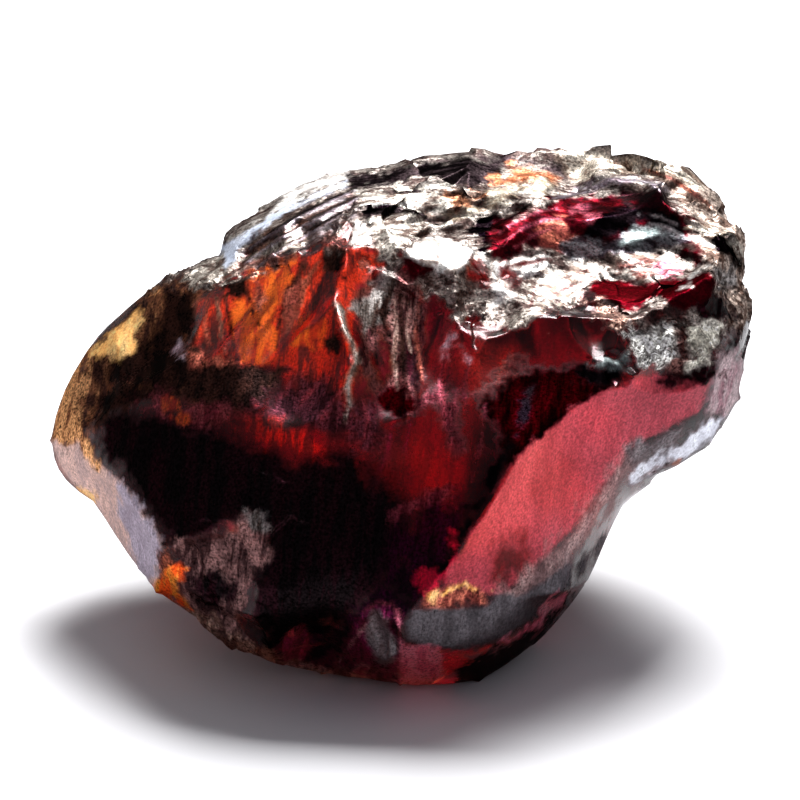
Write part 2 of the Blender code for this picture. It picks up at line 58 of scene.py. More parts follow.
# How each kind of surface looks: its colour, the colour of its streaks, how silvery it is,
# how dull, and how speckled. Colours are linear.
finishes = {
    "umber": ((0.26, 0.12, 0.065), (0.05, 0.022, 0.018), 0.85, 0.35, 0.9),
    "umberDark": ((0.09, 0.055, 0.05), (0.025, 0.014, 0.014), 0.6, 0.3, 0.9),
    "umberRed": ((0.14, 0.02, 0.02), (0.05, 0.01, 0.01), 0.3, 0.3, 0.8),
    "umberSpeck": ((0.16, 0.08, 0.07), (0.04, 0.015, 0.015), 0.85, 0.4, 0.8),
    "char": ((0.018, 0.01, 0.009), (0.035, 0.016, 0.013), 0.95, 0.35, 0.9),
    "goldBrown": ((0.7, 0.38, 0.19), (0.2, 0.09, 0.05), 0.88, 0.4, 0.8),
    "gold": ((1.0, 0.66, 0.3), (0.95, 0.55, 0.22), 0.95, 0.45, 0.3),
    "lilac": ((0.6, 0.5, 0.58), (0.35, 0.25, 0.3), 0.8, 0.4, 0.6),
    "ember": ((0.6, 0.014, 0.004), (0.05, 0.003, 0.004), 0.15, 0.25, 0.7),
    "salmon": ((0.5, 0.16, 0.11), (0.2, 0.05, 0.04), 0.8, 0.4, 0.8),
    "orange": ((1.0, 0.17, 0.01), (0.42, 0.02, 0.004), 0.2, 0.25, 0.5),
    # a painted glint
    "fire": ((1.0, 0.34, 0.06), (1.0, 0.13, 0.02), 0.8, 0.3, 0.6),
    # painted caustic light
    "glow": ((1.0, 0.66, 0.28), (1.0, 0.5, 0.15), 0.9, 0.25, 0.2),
    "tan": ((0.46, 0.35, 0.3), (0.2, 0.12, 0.1), 0.9, 0.45, 0.7),
    "tanDark": ((0.32, 0.21, 0.17), (0.1, 0.05, 0.04), 0.75, 0.5, 1.0),
    "rust": ((0.42, 0.17, 0.09), (0.2, 0.07, 0.035), 0.9, 0.5, 0.6),
    "rustDark": ((0.45, 0.14, 0.07), (0.14, 0.04, 0.03), 0.6, 0.4, 1.0),
    # painted shade, near-black
    "night": ((0.009, 0.006, 0.007), (0.018, 0.006, 0.009), 0.97, 0.3, 0.9),
    "black": ((0.003, 0.002, 0.003), (0.006, 0.004, 0.005), 1.0, 0.3, 0.6),
    "mauve": ((0.28, 0.06, 0.085), (0.09, 0.012, 0.025), 0.7, 0.35, 0.9),
    "mauveDark": ((0.1, 0.03, 0.045), (0.02, 0.006, 0.01), 0.85, 0.35, 0.9),
    "smoke": ((0.15, 0.06, 0.06), (0.02, 0.005, 0.008), 0.88, 0.4, 0.8),
    "smokeTan": ((0.26, 0.14, 0.13), (0.04, 0.016, 0.018), 0.9, 0.45, 0.8),
    "ash": ((0.3, 0.28, 0.27), (0.08, 0.068, 0.062), 0.92, 0.5, 0.7),
    "ashSpeck": ((0.26, 0.23, 0.21), (0.06, 0.042, 0.038), 0.92, 0.5, 0.7),
    "ashWarm": ((0.46, 0.38, 0.33), (0.12, 0.08, 0.065), 0.92, 0.5, 0.7),
    # a painted grey reflection of the floor
    "slate": ((0.11, 0.1, 0.11), (0.075, 0.068, 0.075), 0.85, 0.35, 0.4),
    "slateLight": ((0.24, 0.22, 0.23), (0.16, 0.14, 0.15), 0.7, 0.4, 0.6),
    "slateSpeck": ((0.16, 0.16, 0.17), (0.025, 0.02, 0.025), 0.85, 0.35, 0.7),
    "crimson": ((0.06, 0.0006, 0.01), (0.03, 0.0004, 0.007), 0.1, 0.14, 0.5),
    "wineDark": ((0.02, 0.001, 0.005), (0.008, 0.0006, 0.003), 0.85, 0.3, 0.6),
    "wineClear": ((0.055, 0.002, 0.006), (0.016, 0.001, 0.003), 0.95, 0.35, 0.5),
    "redClear": ((0.055, 0.0008, 0.005), (0.032, 0.0005, 0.003), 0.97, 0.4, 0.4),
    "blood": ((0.24, 0.003, 0.008), (0.13, 0.002, 0.005), 0.35, 0.28, 0.5),
    "plum": ((0.06, 0.001, 0.022), (0.025, 0.0006, 0.012), 0.2, 0.16, 0.8),
    "plumDark": ((0.032, 0.001, 0.018), (0.009, 0.0006, 0.006), 0.85, 0.3, 0.8),
    "magenta": ((0.8, 0.005, 0.06), (0.6, 0.004, 0.05), 0.5, 0.25, 0.4),
    # a painted glint
    "magentaHot": ((1.0, 0.06, 0.1), (0.8, 0.03, 0.08), 0.7, 0.25, 0.4),
    "bruise": ((0.14, 0.03, 0.02), (0.08, 0.006, 0.006), 0.15, 0.16, 0.8),
    "roseDeep": ((0.5, 0.055, 0.085), (0.4, 0.04, 0.065), 0.35, 0.28, 0.5),
    # a painted reflection of the floor
    "greyRose": ((0.46, 0.33, 0.32), (0.34, 0.23, 0.23), 0.6, 0.4, 0.7),
    "pink": ((0.84, 0.4, 0.48), (0.6, 0.2, 0.26), 0.7, 0.35, 0.5),
    "pinkMauve": ((1.0, 0.34, 0.44), (0.7, 0.17, 0.25), 0.8, 0.35, 0.5),
    "pinkSpeck": ((0.52, 0.3, 0.3), (0.16, 0.05, 0.055), 0.9, 0.4, 0.7),
    # a painted highlight
    "pearl": ((0.8, 0.82, 0.88), (0.68, 0.69, 0.75), 0.92, 0.5, 0.2),
    # a painted pale reflection
    "veil": ((0.62, 0.5, 0.52), (0.45, 0.28, 0.32), 0.6, 0.45, 0.5),
    # painted reflections of the floor on the left bevel
    "bevel": ((0.72, 0.52, 0.47), (0.58, 0.44, 0.42), 0.85, 0.5, 0.35),
    "bevelCool": ((0.52, 0.46, 0.54), (0.44, 0.39, 0.46), 0.85, 0.5, 0.35),
    "crust": ((0.24, 0.135, 0.13), (0.06, 0.03, 0.032), 0.88, 0.5, 0.7),
    "haze": ((0.7, 0.69, 0.66), (0.46, 0.43, 0.41), 0.95, 0.65, 0.3),
    "snow": ((0.62, 0.66, 0.75), (0.46, 0.5, 0.58), 0.97, 0.65, 0.15),
    "white": ((0.66, 0.65, 0.63), (0.4, 0.35, 0.32), 0.95, 0.45, 0.3),
    "cream": ((0.58, 0.54, 0.45), (0.32, 0.26, 0.2), 0.95, 0.5, 0.4),
    "creamLined": ((0.56, 0.52, 0.47), (0.2, 0.08, 0.07), 0.93, 0.5, 0.4),
    "creamDotted": ((0.92, 0.9, 0.8), (0.5, 0.48, 0.42), 0.97, 0.55, 0.6),
    "creamSpeck": ((0.62, 0.56, 0.48), (0.2, 0.15, 0.12), 0.92, 0.55, 0.7),
    "chalkSpeck": ((0.42, 0.39, 0.35), (0.1, 0.075, 0.065), 0.93, 0.5, 0.6),
    "brownSpeck": ((0.24, 0.11, 0.065), (0.06, 0.03, 0.02), 0.9, 0.5, 0.7),
    "bandDark": ((0.01, 0.007, 0.008), (0.03, 0.022, 0.024), 0.97, 0.35, 0.7),
    "silver": ((0.95, 0.95, 0.9), (0.22, 0.21, 0.2), 0.98, 0.5, 0.7),
    "frost": ((0.22, 0.255, 0.255), (0.12, 0.14, 0.14), 0.95, 0.45, 0.4),
    "rimLilac": ((0.36, 0.32, 0.36), (0.16, 0.13, 0.15), 0.9, 0.4, 0.5),
    # red under a painted pale reflection of the floor
    "roseSatin": ((0.62, 0.1, 0.14), (0.52, 0.08, 0.115), 0.42, 0.32, 0.45),
    "wineNight": ((0.03, 0.0007, 0.0026), (0.012, 0.0004, 0.0014), 1.0, 0.85, 0.6),
    "plumRed": ((0.2, 0.012, 0.075), (0.07, 0.004, 0.03), 0.7, 0.35, 0.8),
    "chalk": ((0.56, 0.53, 0.49), (0.26, 0.2, 0.17), 0.94, 0.5, 0.4),
    "backPlum": ((0.1, 0.004, 0.016), (0.03, 0.002, 0.007), 0.55, 0.35, 0.7),
    "hazeRed": ((0.16, 0.035, 0.05), (0.06, 0.01, 0.018), 0.8, 0.75, 0.8),
    "backRed": ((0.62, 0.016, 0.03), (0.26, 0.005, 0.014), 0.0, 0.22, 0.4),
    "straw": ((1.0, 0.85, 0.6), (1.0, 0.7, 0.4), 0.0, 0.35, 0.3),
    "backAsh": ((0.26, 0.19, 0.18), (0.07, 0.04, 0.04), 0.85, 0.45, 0.8),
}

# Patches of the front in the order that they are laid on, each with its finish and its
# outline in mm, across and up from the middle of the front. Where a width in mm follows,
# the points are the middle of a thin line.
patches = {
    # the brown left shoulder and its golden tip
    "shoulder": ("umber", [(-9.9, -0.6), (-9.8, 0.4), (-9.5, 1.3), (-8.7, 2.2), (-7.8, 3.2),
        (-6.9, 3.9), (-6.0, 4.3), (-5.6, 4.1), (-5.6, 2.1), (-4.7, 1.5), (-4.2, 0.6), (-5.2, 0.1),
        (-6.6, 0.7), (-7.7, 0.5), (-8.5, -0.3), (-9.0, -0.9), (-9.5, -0.7)]),
    "shoulderShade": ("char", [(-7.8, 2.1), (-6.7, 2.8), (-5.6, 2.1), (-4.6, 1.5), (-4.5, 0.4),
        (-5.6, 0.2), (-7.0, 0.7), (-8.1, 0.8), (-8.5, 1.4)]),
    "tipBlock": ("char", [(-6.6, 3.7), (-5.8, 3.6), (-5.6, 2.8), (-5.7, 2.0), (-6.0, 2.4), (-6.4, 2.2),
        (-6.7, 2.8)]),
    "rim": ("goldBrown", [(-10.0, -0.7), (-9.9, 0.3), (-9.6, 1.2), (-9.0, 2.0), (-8.6, 2.1),
        (-8.8, 1.3), (-8.5, 0.8), (-9.0, 0.6), (-9.0, -0.4), (-9.2, -0.7)]),
    "goldPatch": ("gold", [(-8.7, 1.8), (-8.3, 2.4), (-7.8, 2.9), (-7.2, 3.1), (-7.4, 2.5), (-7.4, 2.0),
        (-7.8, 1.8), (-8.3, 1.7)]),
    "goldLine": ("goldBrown", [(-6.9, 3.7), (-6.7, 3.7), (-6.7, 2.9), (-6.9, 3.1)]),
    "lilacSpot": ("lilac", [(-6.1, 2.2), (-5.9, 2.0), (-6.0, 1.7), (-6.3, 1.7), (-6.2, 2.0)]),
    # the orange glow under the brow, with dark gaps and fibres
    "ember": ("ember", [(-5.7, 3.1), (-5.2, 3.3), (-5.0, 3.8), (-4.4, 4.3), (-3.6, 4.5), (-3.0, 4.5),
        (-2.5, 4.8), (-1.8, 5.2), (-0.8, 4.8), (-0.4, 4.7), (-0.4, 4.2), (-1.1, 3.6), (-1.2, 3.1),
        (-1.1, 2.1), (-1.3, 0.8), (-2.0, 0.8), (-2.8, 1.2), (-3.7, 1.5), (-4.5, 1.5), (-5.2, 1.6),
        (-5.7, 2.1)]),
    "emberFoot": ("salmon", [(-6.0, 2.0), (-5.5, 2.0), (-4.5, 1.7), (-4.3, 1.4), (-5.2, 1.3),
        (-5.9, 1.5)]),
    "amber": ("orange", [(-4.3, 4.3), (-3.6, 4.5), (-2.9, 4.5), (-2.9, 4.0), (-3.1, 3.6), (-3.3, 3.2),
        (-3.5, 2.7), (-3.4, 2.1), (-3.6, 1.6), (-4.0, 1.6), (-4.4, 1.6), (-4.6, 2.1), (-4.7, 2.7),
        (-4.6, 3.4), (-4.3, 3.4), (-4.2, 3.8)]),
    "amberRight": ("orange", [(-2.8, 2.7), (-2.5, 2.9), (-2.2, 2.9), (-2.1, 2.5), (-2.3, 2.1),
        (-2.7, 2.0), (-3.1, 2.1), (-3.0, 2.4)]),
    "amberLeft": ("ember", [(-5.7, 3.3), (-5.2, 3.5), (-4.9, 3.3), (-4.9, 2.5), (-4.8, 1.9),
        (-5.2, 1.8), (-5.5, 2.0)]),
    "gapLeft": ("char", [(-5.0, 3.8), (-4.4, 4.1), (-4.2, 3.5), (-4.0, 3.0), (-3.9, 2.7), (-4.1, 2.9),
        (-4.3, 3.4), (-4.7, 3.3), (-4.9, 3.5)]),
    "gapMiddle": ("char", [(-2.8, 4.4), (-2.5, 4.3), (-2.9, 3.7), (-3.1, 3.3), (-3.1, 3.6)]),
    "gapRight": ("char", [(-2.0, 4.8), (-1.5, 4.8), (-1.5, 3.9), (-1.8, 3.9), (-2.0, 4.1),
        (-2.2, 4.6)]),
    "gapFar": ("char", [(-2.0, 2.2), (-1.7, 2.4), (-1.6, 1.9), (-1.7, 1.6), (-1.9, 1.9)]),
    "fibreD": ("salmon", [(-2.24, 4.42), (-2.63, 3.86), (-2.74, 3.19)], 0.085),
    "fibreC": ("salmon", [(-3.98, 3.86), (-3.86, 3.47), (-3.92, 3.02)], 0.14),
    "fibreB": ("tan", [(-5.12, 3.42), (-5.01, 2.8), (-4.96, 2.24), (-4.82, 1.79)], 0.07),
    "fibreA": ("salmon", [(-5.38, 3.36), (-5.46, 2.74), (-5.35, 2.18), (-5.21, 1.85)], 0.085),
    "seamLeft": ("char", [(-4.93, 3.47), (-4.76, 2.86), (-4.68, 2.35), (-4.48, 1.9)], 0.11),
    "seamMiddle": ("char", [(-2.8, 4.42), (-2.91, 3.92), (-3.19, 3.36), (-3.36, 2.66),
        (-3.42, 1.96)], 0.14),
    "paleStreak": ("salmon", [(-3.1, 2.7), (-3.3, 2.9), (-3.2, 3.4), (-2.8, 4.0), (-2.7, 3.9),
        (-3.0, 3.2), (-2.9, 3.0), (-3.1, 2.5)]),
    "paleStreakLeft": ("salmon", [(-4.0, 3.6), (-3.8, 3.6), (-3.8, 3.1), (-3.9, 3.0), (-4.1, 3.2)]),
    # the lower front, painted near-black as shade, and the haze above it
    "night": ("night", [(-8.7, -0.6), (-8.4, 0.1), (-7.7, 0.3), (-6.6, 0.3), (-5.9, -0.1), (-5.0, -0.2),
        (-3.9, -0.7), (-2.8, -1.0), (-2.0, -0.9), (-1.4, -0.9), (-0.8, -1.3), (-0.1, -1.8), (0.3, -2.6),
        (0.3, -3.2), (-0.1, -4.0), (-0.8, -4.8), (-1.5, -5.7), (-2.3, -6.7), (-3.2, -6.9), (-3.9, -6.8),
        (-4.1, -5.0), (-3.9, -2.8), (-4.5, -2.8), (-5.9, -3.5), (-6.5, -3.4), (-7.3, -2.2),
        (-8.1, -1.3)]),
    "nightTop": ("char", [(-5.5, 1.5), (-4.7, 1.6), (-3.8, 1.5), (-3.2, 1.4), (-3.5, 0.8), (-3.9, 0.2),
        (-4.2, 0.2), (-5.2, 0.4), (-6.2, 0.6), (-7.6, 0.4), (-8.4, 0.2), (-8.5, 0.6), (-7.6, 0.9),
        (-6.4, 0.8), (-5.6, 1.1)]),
    "nightHaze": ("mauveDark", [(-3.3, 0.7), (-2.8, 1.4), (-2.0, 1.1), (-1.4, 0.7), (-0.8, 0.3),
        (-0.2, -0.4), (-0.4, -1.0), (-1.5, -0.7), (-2.4, -0.4), (-3.1, 0.0), (-3.9, 0.2), (-3.6, 0.5)]),
    "emberLine": ("mauve", [(-7.3, 0.4), (-6.5, 0.6), (-5.9, 0.5), (-5.3, 0.3), (-4.3, 0.1),
        (-3.9, 0.2), (-2.8, -0.2), (-2.9, -0.3), (-3.9, -0.1), (-5.0, 0.0), (-5.9, 0.1), (-6.6, 0.3),
        (-7.2, 0.3)]),
    "emberWedge": ("ember", [(-4.6, -0.1), (-4.3, 0.0), (-3.9, 0.1), (-3.4, -0.1), (-3.1, -0.1),
        (-2.7, -0.3), (-2.4, -0.5), (-2.2, -0.8), (-2.5, -0.9), (-2.9, -0.8), (-3.2, -0.6),
        (-3.6, -0.6), (-4.0, -0.4), (-4.3, -0.3)]),
    "emberSpot": ("orange", [(-6.5, 0.6), (-6.1, 0.6), (-6.0, 0.2), (-5.9, 0.0), (-6.2, 0.1),
        (-6.4, 0.3)]),
    "duskFibreC": ("mauve", [(-2.18, 0.11), (-1.79, 0.62), (-1.46, 1.01)], 0.085),
    "duskFibreB": ("mauve", [(-2.86, 0.34), (-2.41, 0.84), (-2.07, 1.18)], 0.085),
    "duskFibreA": ("mauve", [(-3.3, 0.62), (-2.97, 1.06), (-2.69, 1.34)], 0.085),
    # the fluted break right of the glow
    "flute": ("smoke", [(-1.3, 3.6), (-0.8, 4.0), (-0.2, 4.3), (0.6, 4.1), (0.9, 3.4), (0.7, 2.1),
        (0.6, 0.6), (0.1, 0.0), (-0.4, 0.6), (-0.8, 0.8), (-1.1, 1.7), (-1.2, 2.8)]),
    "fluteAsh": ("ash", [(-0.8, 3.9), (-0.2, 4.2), (-0.1, 3.7), (-0.4, 2.8), (-0.9, 2.6), (-1.3, 3.1)]),
    "fluteDark": ("char", [(-0.5, 3.5), (-0.3, 3.5), (-0.2, 2.5), (-0.3, 1.6), (-0.4, 1.6),
        (-0.5, 2.5)]),
    "fluteTan": ("smokeTan", [(-0.1, 3.7), (0.5, 3.7), (0.7, 3.0), (0.4, 2.1), (0.1, 2.1),
        (-0.2, 2.6)]),
    "fluteDarkRight": ("wineDark", [(0.1, 2.4), (0.3, 2.5), (0.5, 1.5), (0.5, 0.5), (0.3, 0.6),
        (0.1, 1.3)]),
    "fluteRed": ("crimson", [(-0.6, 2.5), (-0.4, 2.5), (-0.3, 1.5), (-0.2, 0.6), (-0.4, 0.3),
        (-0.6, 0.8), (-0.7, 2.0)]),
    "fluteLineF": ("char", [(-0.59, 3.42), (-0.73, 2.52), (-0.64, 1.57)], 0.11),
    "fluteLineE": ("char", [(0.0, 3.58), (0.06, 2.52), (0.08, 1.4), (0.31, 0.5)], 0.14),
    "fluteLineD": ("salmon", [(0.56, 3.36), (0.42, 2.52), (0.53, 1.79), (0.62, 1.01)], 0.085),
    "fluteLineC": ("tan", [(0.25, 3.3), (0.17, 2.52), (0.28, 1.9)], 0.06),
    "fluteLineB": ("ash", [(-0.73, 3.7), (-0.9, 3.02), (-1.01, 2.24)], 0.11),
    "fluteLineA": ("tan", [(-0.14, 3.3), (-0.08, 2.52), (-0.17, 1.68), (-0.06, 0.84)], 0.07),
    "fluteGlow": ("wineNight", [(-0.7, 1.0), (-0.1, 1.1), (0.3, 0.9), (0.4, 0.3), (-0.1, 0.0),
        (-0.6, 0.2)]),
    "jagged": ("chalkSpeck", [(-1.85, 3.33), (-1.6, 2.97), (-1.54, 2.58), (-1.32, 2.13), (-1.18, 1.62),
        (-1.37, 1.23), (-1.46, 0.9), (-1.4, 0.5), (-1.54, -0.11)], 0.17),
    # the dark red right half of the front, as far as the ridge
    "plumTop": ("plum", [(0.7, 3.6), (1.1, 3.6), (1.5, 3.0), (1.7, 2.5), (1.4, 2.0), (0.9, 2.0),
        (0.7, 2.5)]),
    "plumMiddle": ("plum", [(1.1, 2.0), (2.0, 2.1), (2.2, 1.6), (2.0, 0.8), (1.5, 0.7), (1.1, 1.1)]),
    "bruise": ("bruise", [(1.7, 1.5), (2.2, 2.0), (2.8, 1.9), (3.5, 1.3), (3.4, 0.8), (2.7, 0.9),
        (2.4, 0.4), (2.0, 1.0)]),
    # painted shade: the stone along the ridge darkened to a deep red
    "arrisPaintedShade": ("wineNight", [(2.3, 0.7), (2.7, 1.1), (3.2, 1.5), (4.1, 1.5), (4.9, 1.3), (5.7, 1.2),
        (6.3, 0.8), (5.4, -0.1), (4.4, -0.8), (3.5, -1.6), (2.8, -1.4), (2.5, -0.4), (2.4, 0.2)]),
    "haze": ("hazeRed", [(0.9, 0.6), (1.6, 0.7), (1.7, -0.2), (1.5, -0.7), (1.1, -0.1)]),
    "hazeStreak": ("lilac", [(1.1, 1.8), (1.3, 2.4), (1.5, 2.4), (1.4, 2.1), (1.2, 1.7)]),
    "hazeSpot": ("lilac", [(1.6, 2.1), (1.7, 2.1), (2.0, 1.7), (1.9, 1.6), (1.7, 2.0)]),
    "fibreJ": ("mauve", [(2.35, 0.45), (2.24, -0.56), (1.96, -1.68)], 0.085),
    "fibreI": ("mauve", [(-1.06, 0.67), (-0.9, 0.0), (-1.01, -0.56)], 0.085),
    "fibreH": ("plumRed", [(-0.17, 0.06), (-0.31, -0.73), (-0.56, -1.4)], 0.085),
    "fibreG": ("plumRed", [(0.34, 0.06), (0.11, -0.84), (0.34, -1.74)], 0.085),
    "fibreF": ("mauve", [(1.96, 1.9), (1.74, 0.84), (1.85, -0.28)], 0.085),
    "fibreE": ("mauve", [(1.29, 1.9), (1.12, 1.12), (1.23, 0.0), (1.46, -0.84)], 0.11),
    "redHeart": ("blood", [(-0.3, -0.9), (0.1, -0.7), (0.8, -0.9), (1.1, -1.4), (0.7, -1.7),
        (0.0, -1.6)]),
    # the plum foot of the front
    "mauveArc": ("mauve", [(-0.4, -2.8), (-0.1, -2.5), (0.7, -2.1), (1.3, -1.9), (1.4, -2.1),
        (0.7, -2.4), (0.1, -2.6), (-0.3, -2.9)]),
    "plumFoot": ("plumDark", [(-0.2, -2.9), (0.6, -2.5), (1.5, -2.2), (1.9, -2.4), (1.8, -2.9),
        (1.5, -3.9), (1.1, -4.5), (0.5, -4.9), (-0.1, -5.0), (-0.4, -4.5)]),
    # painted shade along the ridge, black
    "arrisShade": ("black", [(3.4, 0.8), (3.8, 1.0), (3.6, 0.0), (3.3, -0.4), (2.8, -1.2), (2.5, -1.9),
        (2.2, -2.7), (1.9, -3.1), (1.5, -3.9), (1.1, -4.5), (1.0, -4.4), (1.3, -3.6), (1.7, -2.8),
        (2.0, -2.1), (2.6, -1.2), (3.2, -0.2)]),
    "arrisBlack": ("black", [(1.8, -2.4), (2.2, -1.9), (2.6, -1.8), (2.5, -2.2), (2.2, -2.6),
        (1.8, -2.6)]),
    "crimsonWedge": ("magenta", [(0.3, -4.1), (0.6, -4.0), (1.3, -4.4), (1.0, -4.6), (0.7, -4.8),
        (0.4, -4.4)]),
    "crimsonLine": ("magenta", [(1.4, -3.1), (1.5, -3.1), (1.6, -4.1), (1.5, -4.1)]),
    # painted shade along the bottom of the front, where the stone meets the floor
    "footPaintedShade": ("plumDark", [(-4.1, -6.7), (-2.8, -6.6), (-2.0, -5.9), (-1.0, -5.0), (-0.3, -4.5),
        (0.1, -5.0), (0.1, -6.2), (-0.1, -7.4), (-1.7, -7.2), (-2.9, -7.1), (-3.9, -6.9)]),
    "ovalSurround": ("plumRed", [(-1.7, -6.4), (-1.3, -5.7), (-1.0, -5.2), (-0.4, -5.1), (0.0, -5.7),
        (0.1, -6.4), (0.0, -7.4), (-0.8, -7.3), (-2.0, -6.9), (-2.5, -6.8)]),
    "ovalChip": ("slateLight", [(-0.8, -5.3), (-0.5, -5.3), (-0.1, -5.9), (0.0, -6.4), (-0.2, -6.7),
        (-0.5, -6.8), (-0.9, -6.2), (-0.9, -5.7)]),
    "smallOval": ("plumRed", [(-3.4, -6.3), (-3.1, -5.9), (-2.7, -5.7), (-2.4, -6.0), (-2.5, -6.4),
        (-2.8, -6.7), (-3.3, -6.9)]),
    "footLine": ("tan", [(-3.6, -6.7), (-2.8, -6.8), (-1.7, -7.0), (-0.2, -7.3), (-0.3, -7.4),
        (-1.7, -7.2), (-2.9, -7.1), (-3.6, -6.9)]),
    "footWebE": ("pinkMauve", [(-0.08, -5.21), (0.0, -5.88), (0.06, -6.58), (-0.03, -7.39)], 0.085),
    "footWebD": ("mauve", [(-1.01, -5.26), (-0.67, -5.01), (-0.22, -5.04), (0.03, -5.38)], 0.085),
    "footWebC": ("pinkSpeck", [(-1.34, -7.0), (-1.06, -6.75), (-0.67, -6.94), (-0.22, -7.0)], 0.07),
    "footWebB": ("pinkSpeck", [(-1.96, -6.94), (-1.62, -6.61), (-1.34, -6.16), (-0.95, -5.6)], 0.07),
    "footWebA": ("pinkSpeck", [(-3.58, -6.78), (-2.8, -6.83), (-1.68, -7.0), (-0.84, -7.22),
        (-0.22, -7.34)], 0.1),
    # the bevel at the left end, painted pale as a reflection of the floor
    "bevel": ("bevel", [(-9.9, -0.6), (-9.4, -0.8), (-9.0, -0.6), (-8.7, -1.1), (-8.2, -1.3),
        (-7.7, -1.7), (-7.1, -2.5), (-6.6, -3.2), (-6.5, -3.5), (-6.7, -4.2), (-6.7, -4.6),
        (-7.0, -4.8), (-7.4, -4.6), (-7.8, -4.1), (-8.2, -3.6), (-8.5, -3.1), (-8.7, -2.6),
        (-9.2, -2.2), (-9.7, -1.7), (-10.0, -1.1)]),
    "bevelCool": ("bevelCool", [(-8.1, -1.4), (-7.7, -1.7), (-7.1, -2.5), (-6.6, -3.2), (-6.5, -3.5),
        (-6.7, -4.3), (-7.3, -4.5), (-7.6, -3.5), (-7.8, -2.5)]),
    "bevelEdge": ("ash", [(-10.1, -0.9), (-9.7, -1.0), (-9.6, -1.5), (-9.3, -1.9), (-9.5, -2.0),
        (-10.0, -1.6)]),
    "bevelSpark": ("gold", [(-9.2, -2.1), (-8.6, -2.1), (-8.5, -2.5), (-8.9, -2.5), (-9.1, -2.3)]),
    "stub": ("goldBrown", [(-9.0, -0.4), (-8.7, -0.6), (-8.6, -1.1), (-8.3, -1.3), (-8.5, -1.4),
        (-8.8, -1.0)]),
    # the ashy crust low on the left
    "crust": ("crust", [(-6.5, -3.4), (-5.7, -3.2), (-4.6, -3.0), (-4.5, -2.6), (-4.1, -2.5),
        (-3.6, -3.0), (-3.6, -3.4), (-3.6, -3.7), (-4.1, -4.5), (-4.2, -5.0), (-4.5, -5.6),
        (-4.0, -6.1), (-3.9, -6.6), (-4.6, -6.6), (-5.3, -6.2), (-5.9, -5.6), (-6.0, -5.2),
        (-6.2, -4.5), (-6.0, -4.1)]),
    "crustShade": ("night", [(-5.8, -4.3), (-5.0, -4.1), (-4.5, -4.5), (-4.6, -5.0), (-5.0, -5.3),
        (-5.5, -5.2), (-5.7, -4.8)]),
    "crustLobe": ("ash", [(-4.3, -2.5), (-3.9, -2.6), (-3.6, -3.0), (-3.7, -3.2), (-4.0, -3.0)]),
    "crustFoot": ("tanDark", [(-6.0, -5.2), (-5.5, -5.4), (-4.8, -5.9), (-3.9, -6.2), (-3.4, -6.6),
        (-3.9, -6.9), (-4.9, -6.6), (-5.6, -6.1)]),
    "crustGlintA": ("tan", [(-5.2, -5.3), (-5.0, -5.5), (-5.1, -6.0), (-5.2, -6.0)]),
    "crustGlintB": ("tan", [(-5.9, -5.3), (-5.8, -5.3), (-5.6, -5.9), (-5.7, -5.9)]),
    "crustWedge": ("rustDark", [(-6.5, -3.4), (-6.4, -3.4), (-6.2, -3.9), (-6.2, -4.1), (-6.6, -4.4),
        (-6.7, -3.9)]),
    # a painted orange glint
    "fireGlint": ("fire", [(-7.1, -4.8), (-6.6, -4.4), (-6.1, -4.0), (-5.9, -4.1), (-6.2, -4.5),
        (-6.1, -4.9), (-5.9, -5.2), (-6.4, -5.0), (-6.7, -4.9)]),
    # the belly right of the ridge, red under a painted pale reflection of the floor, and the roll beside it
    "belly": ("roseSatin", [(5.8, 0.9), (6.2, 1.1), (7.0, 1.3), (8.1, 1.2), (8.7, 1.2), (8.4, 0.2),
        (7.9, 0.0), (7.2, -0.4), (6.3, -0.8), (6.2, -1.2), (5.3, -2.3), (4.8, -3.1), (3.9, -3.9),
        (2.9, -4.8), (2.4, -4.8), (1.8, -4.5), (1.1, -4.8), (1.5, -3.9), (1.9, -3.1), (2.2, -2.6),
        (2.6, -2.0), (3.0, -1.3), (3.5, -0.7), (4.1, -0.2), (4.8, 0.3)]),
    "bellyBlush": ("roseDeep", [(3.6, -1.5), (4.5, -1.0), (5.2, -1.3), (5.3, -2.0), (4.6, -2.7),
        (3.8, -2.4), (3.4, -2.0)]),
    "bellyBlot": ("blood", [(2.7, -3.5), (3.2, -3.2), (3.8, -3.6), (3.6, -4.3), (2.9, -4.6),
        (2.5, -4.3)]),
    # painted reflections of the floor: grey-rose along the belly's lower edge, dark slate lower down
    "bellyEdgeReflection": ("greyRose", [(6.3, -0.8), (6.7, -0.9), (5.9, -2.2), (5.0, -3.5), (4.1, -4.6),
        (2.9, -5.1), (2.8, -4.8), (3.9, -3.9), (4.8, -3.1), (5.3, -2.3), (6.2, -1.2)]),
    "bellyDusk": ("slate", [(5.8, -3.2), (5.4, -4.0), (4.6, -4.5), (3.6, -5.0), (4.5, -4.3),
        (5.0, -3.8)]),
    # the roll's painted shade, then its painted highlight
    "rollShade": ("slateLight", [(6.3, -0.8), (7.3, -0.4), (7.9, -0.1), (8.0, -0.4), (7.3, -0.9),
        (6.6, -1.2), (6.3, -1.2)]),
    "rollPaintedHighlight": ("pearl", [(6.7, -1.3), (7.3, -1.0), (7.8, -0.7), (8.5, -0.1), (9.2, 0.2), (8.8, -0.5),
        (8.1, -1.0), (7.3, -1.5), (6.4, -1.8)]),
    "rollWarm": ("rustDark", [(6.9, -1.5), (7.6, -1.1), (7.8, -1.2), (7.3, -1.5)]),
    # a painted pale reflection on the right rim
    "rimPaintedReflection": ("veil", [(8.8, 1.9), (9.5, 2.1), (9.7, 1.1), (9.5, 0.5), (9.2, 0.1), (8.4, 0.2),
        (8.7, 0.8)]),
    # the lens, painted grey as a reflection of the floor, and the foot under the belly
    # painted caustic glow above the lens, with brighter lines and a drop in it
    "lensFire": ("salmon", [(0.6, -5.1), (0.8, -4.8), (1.4, -4.5), (1.8, -4.4), (2.4, -4.7),
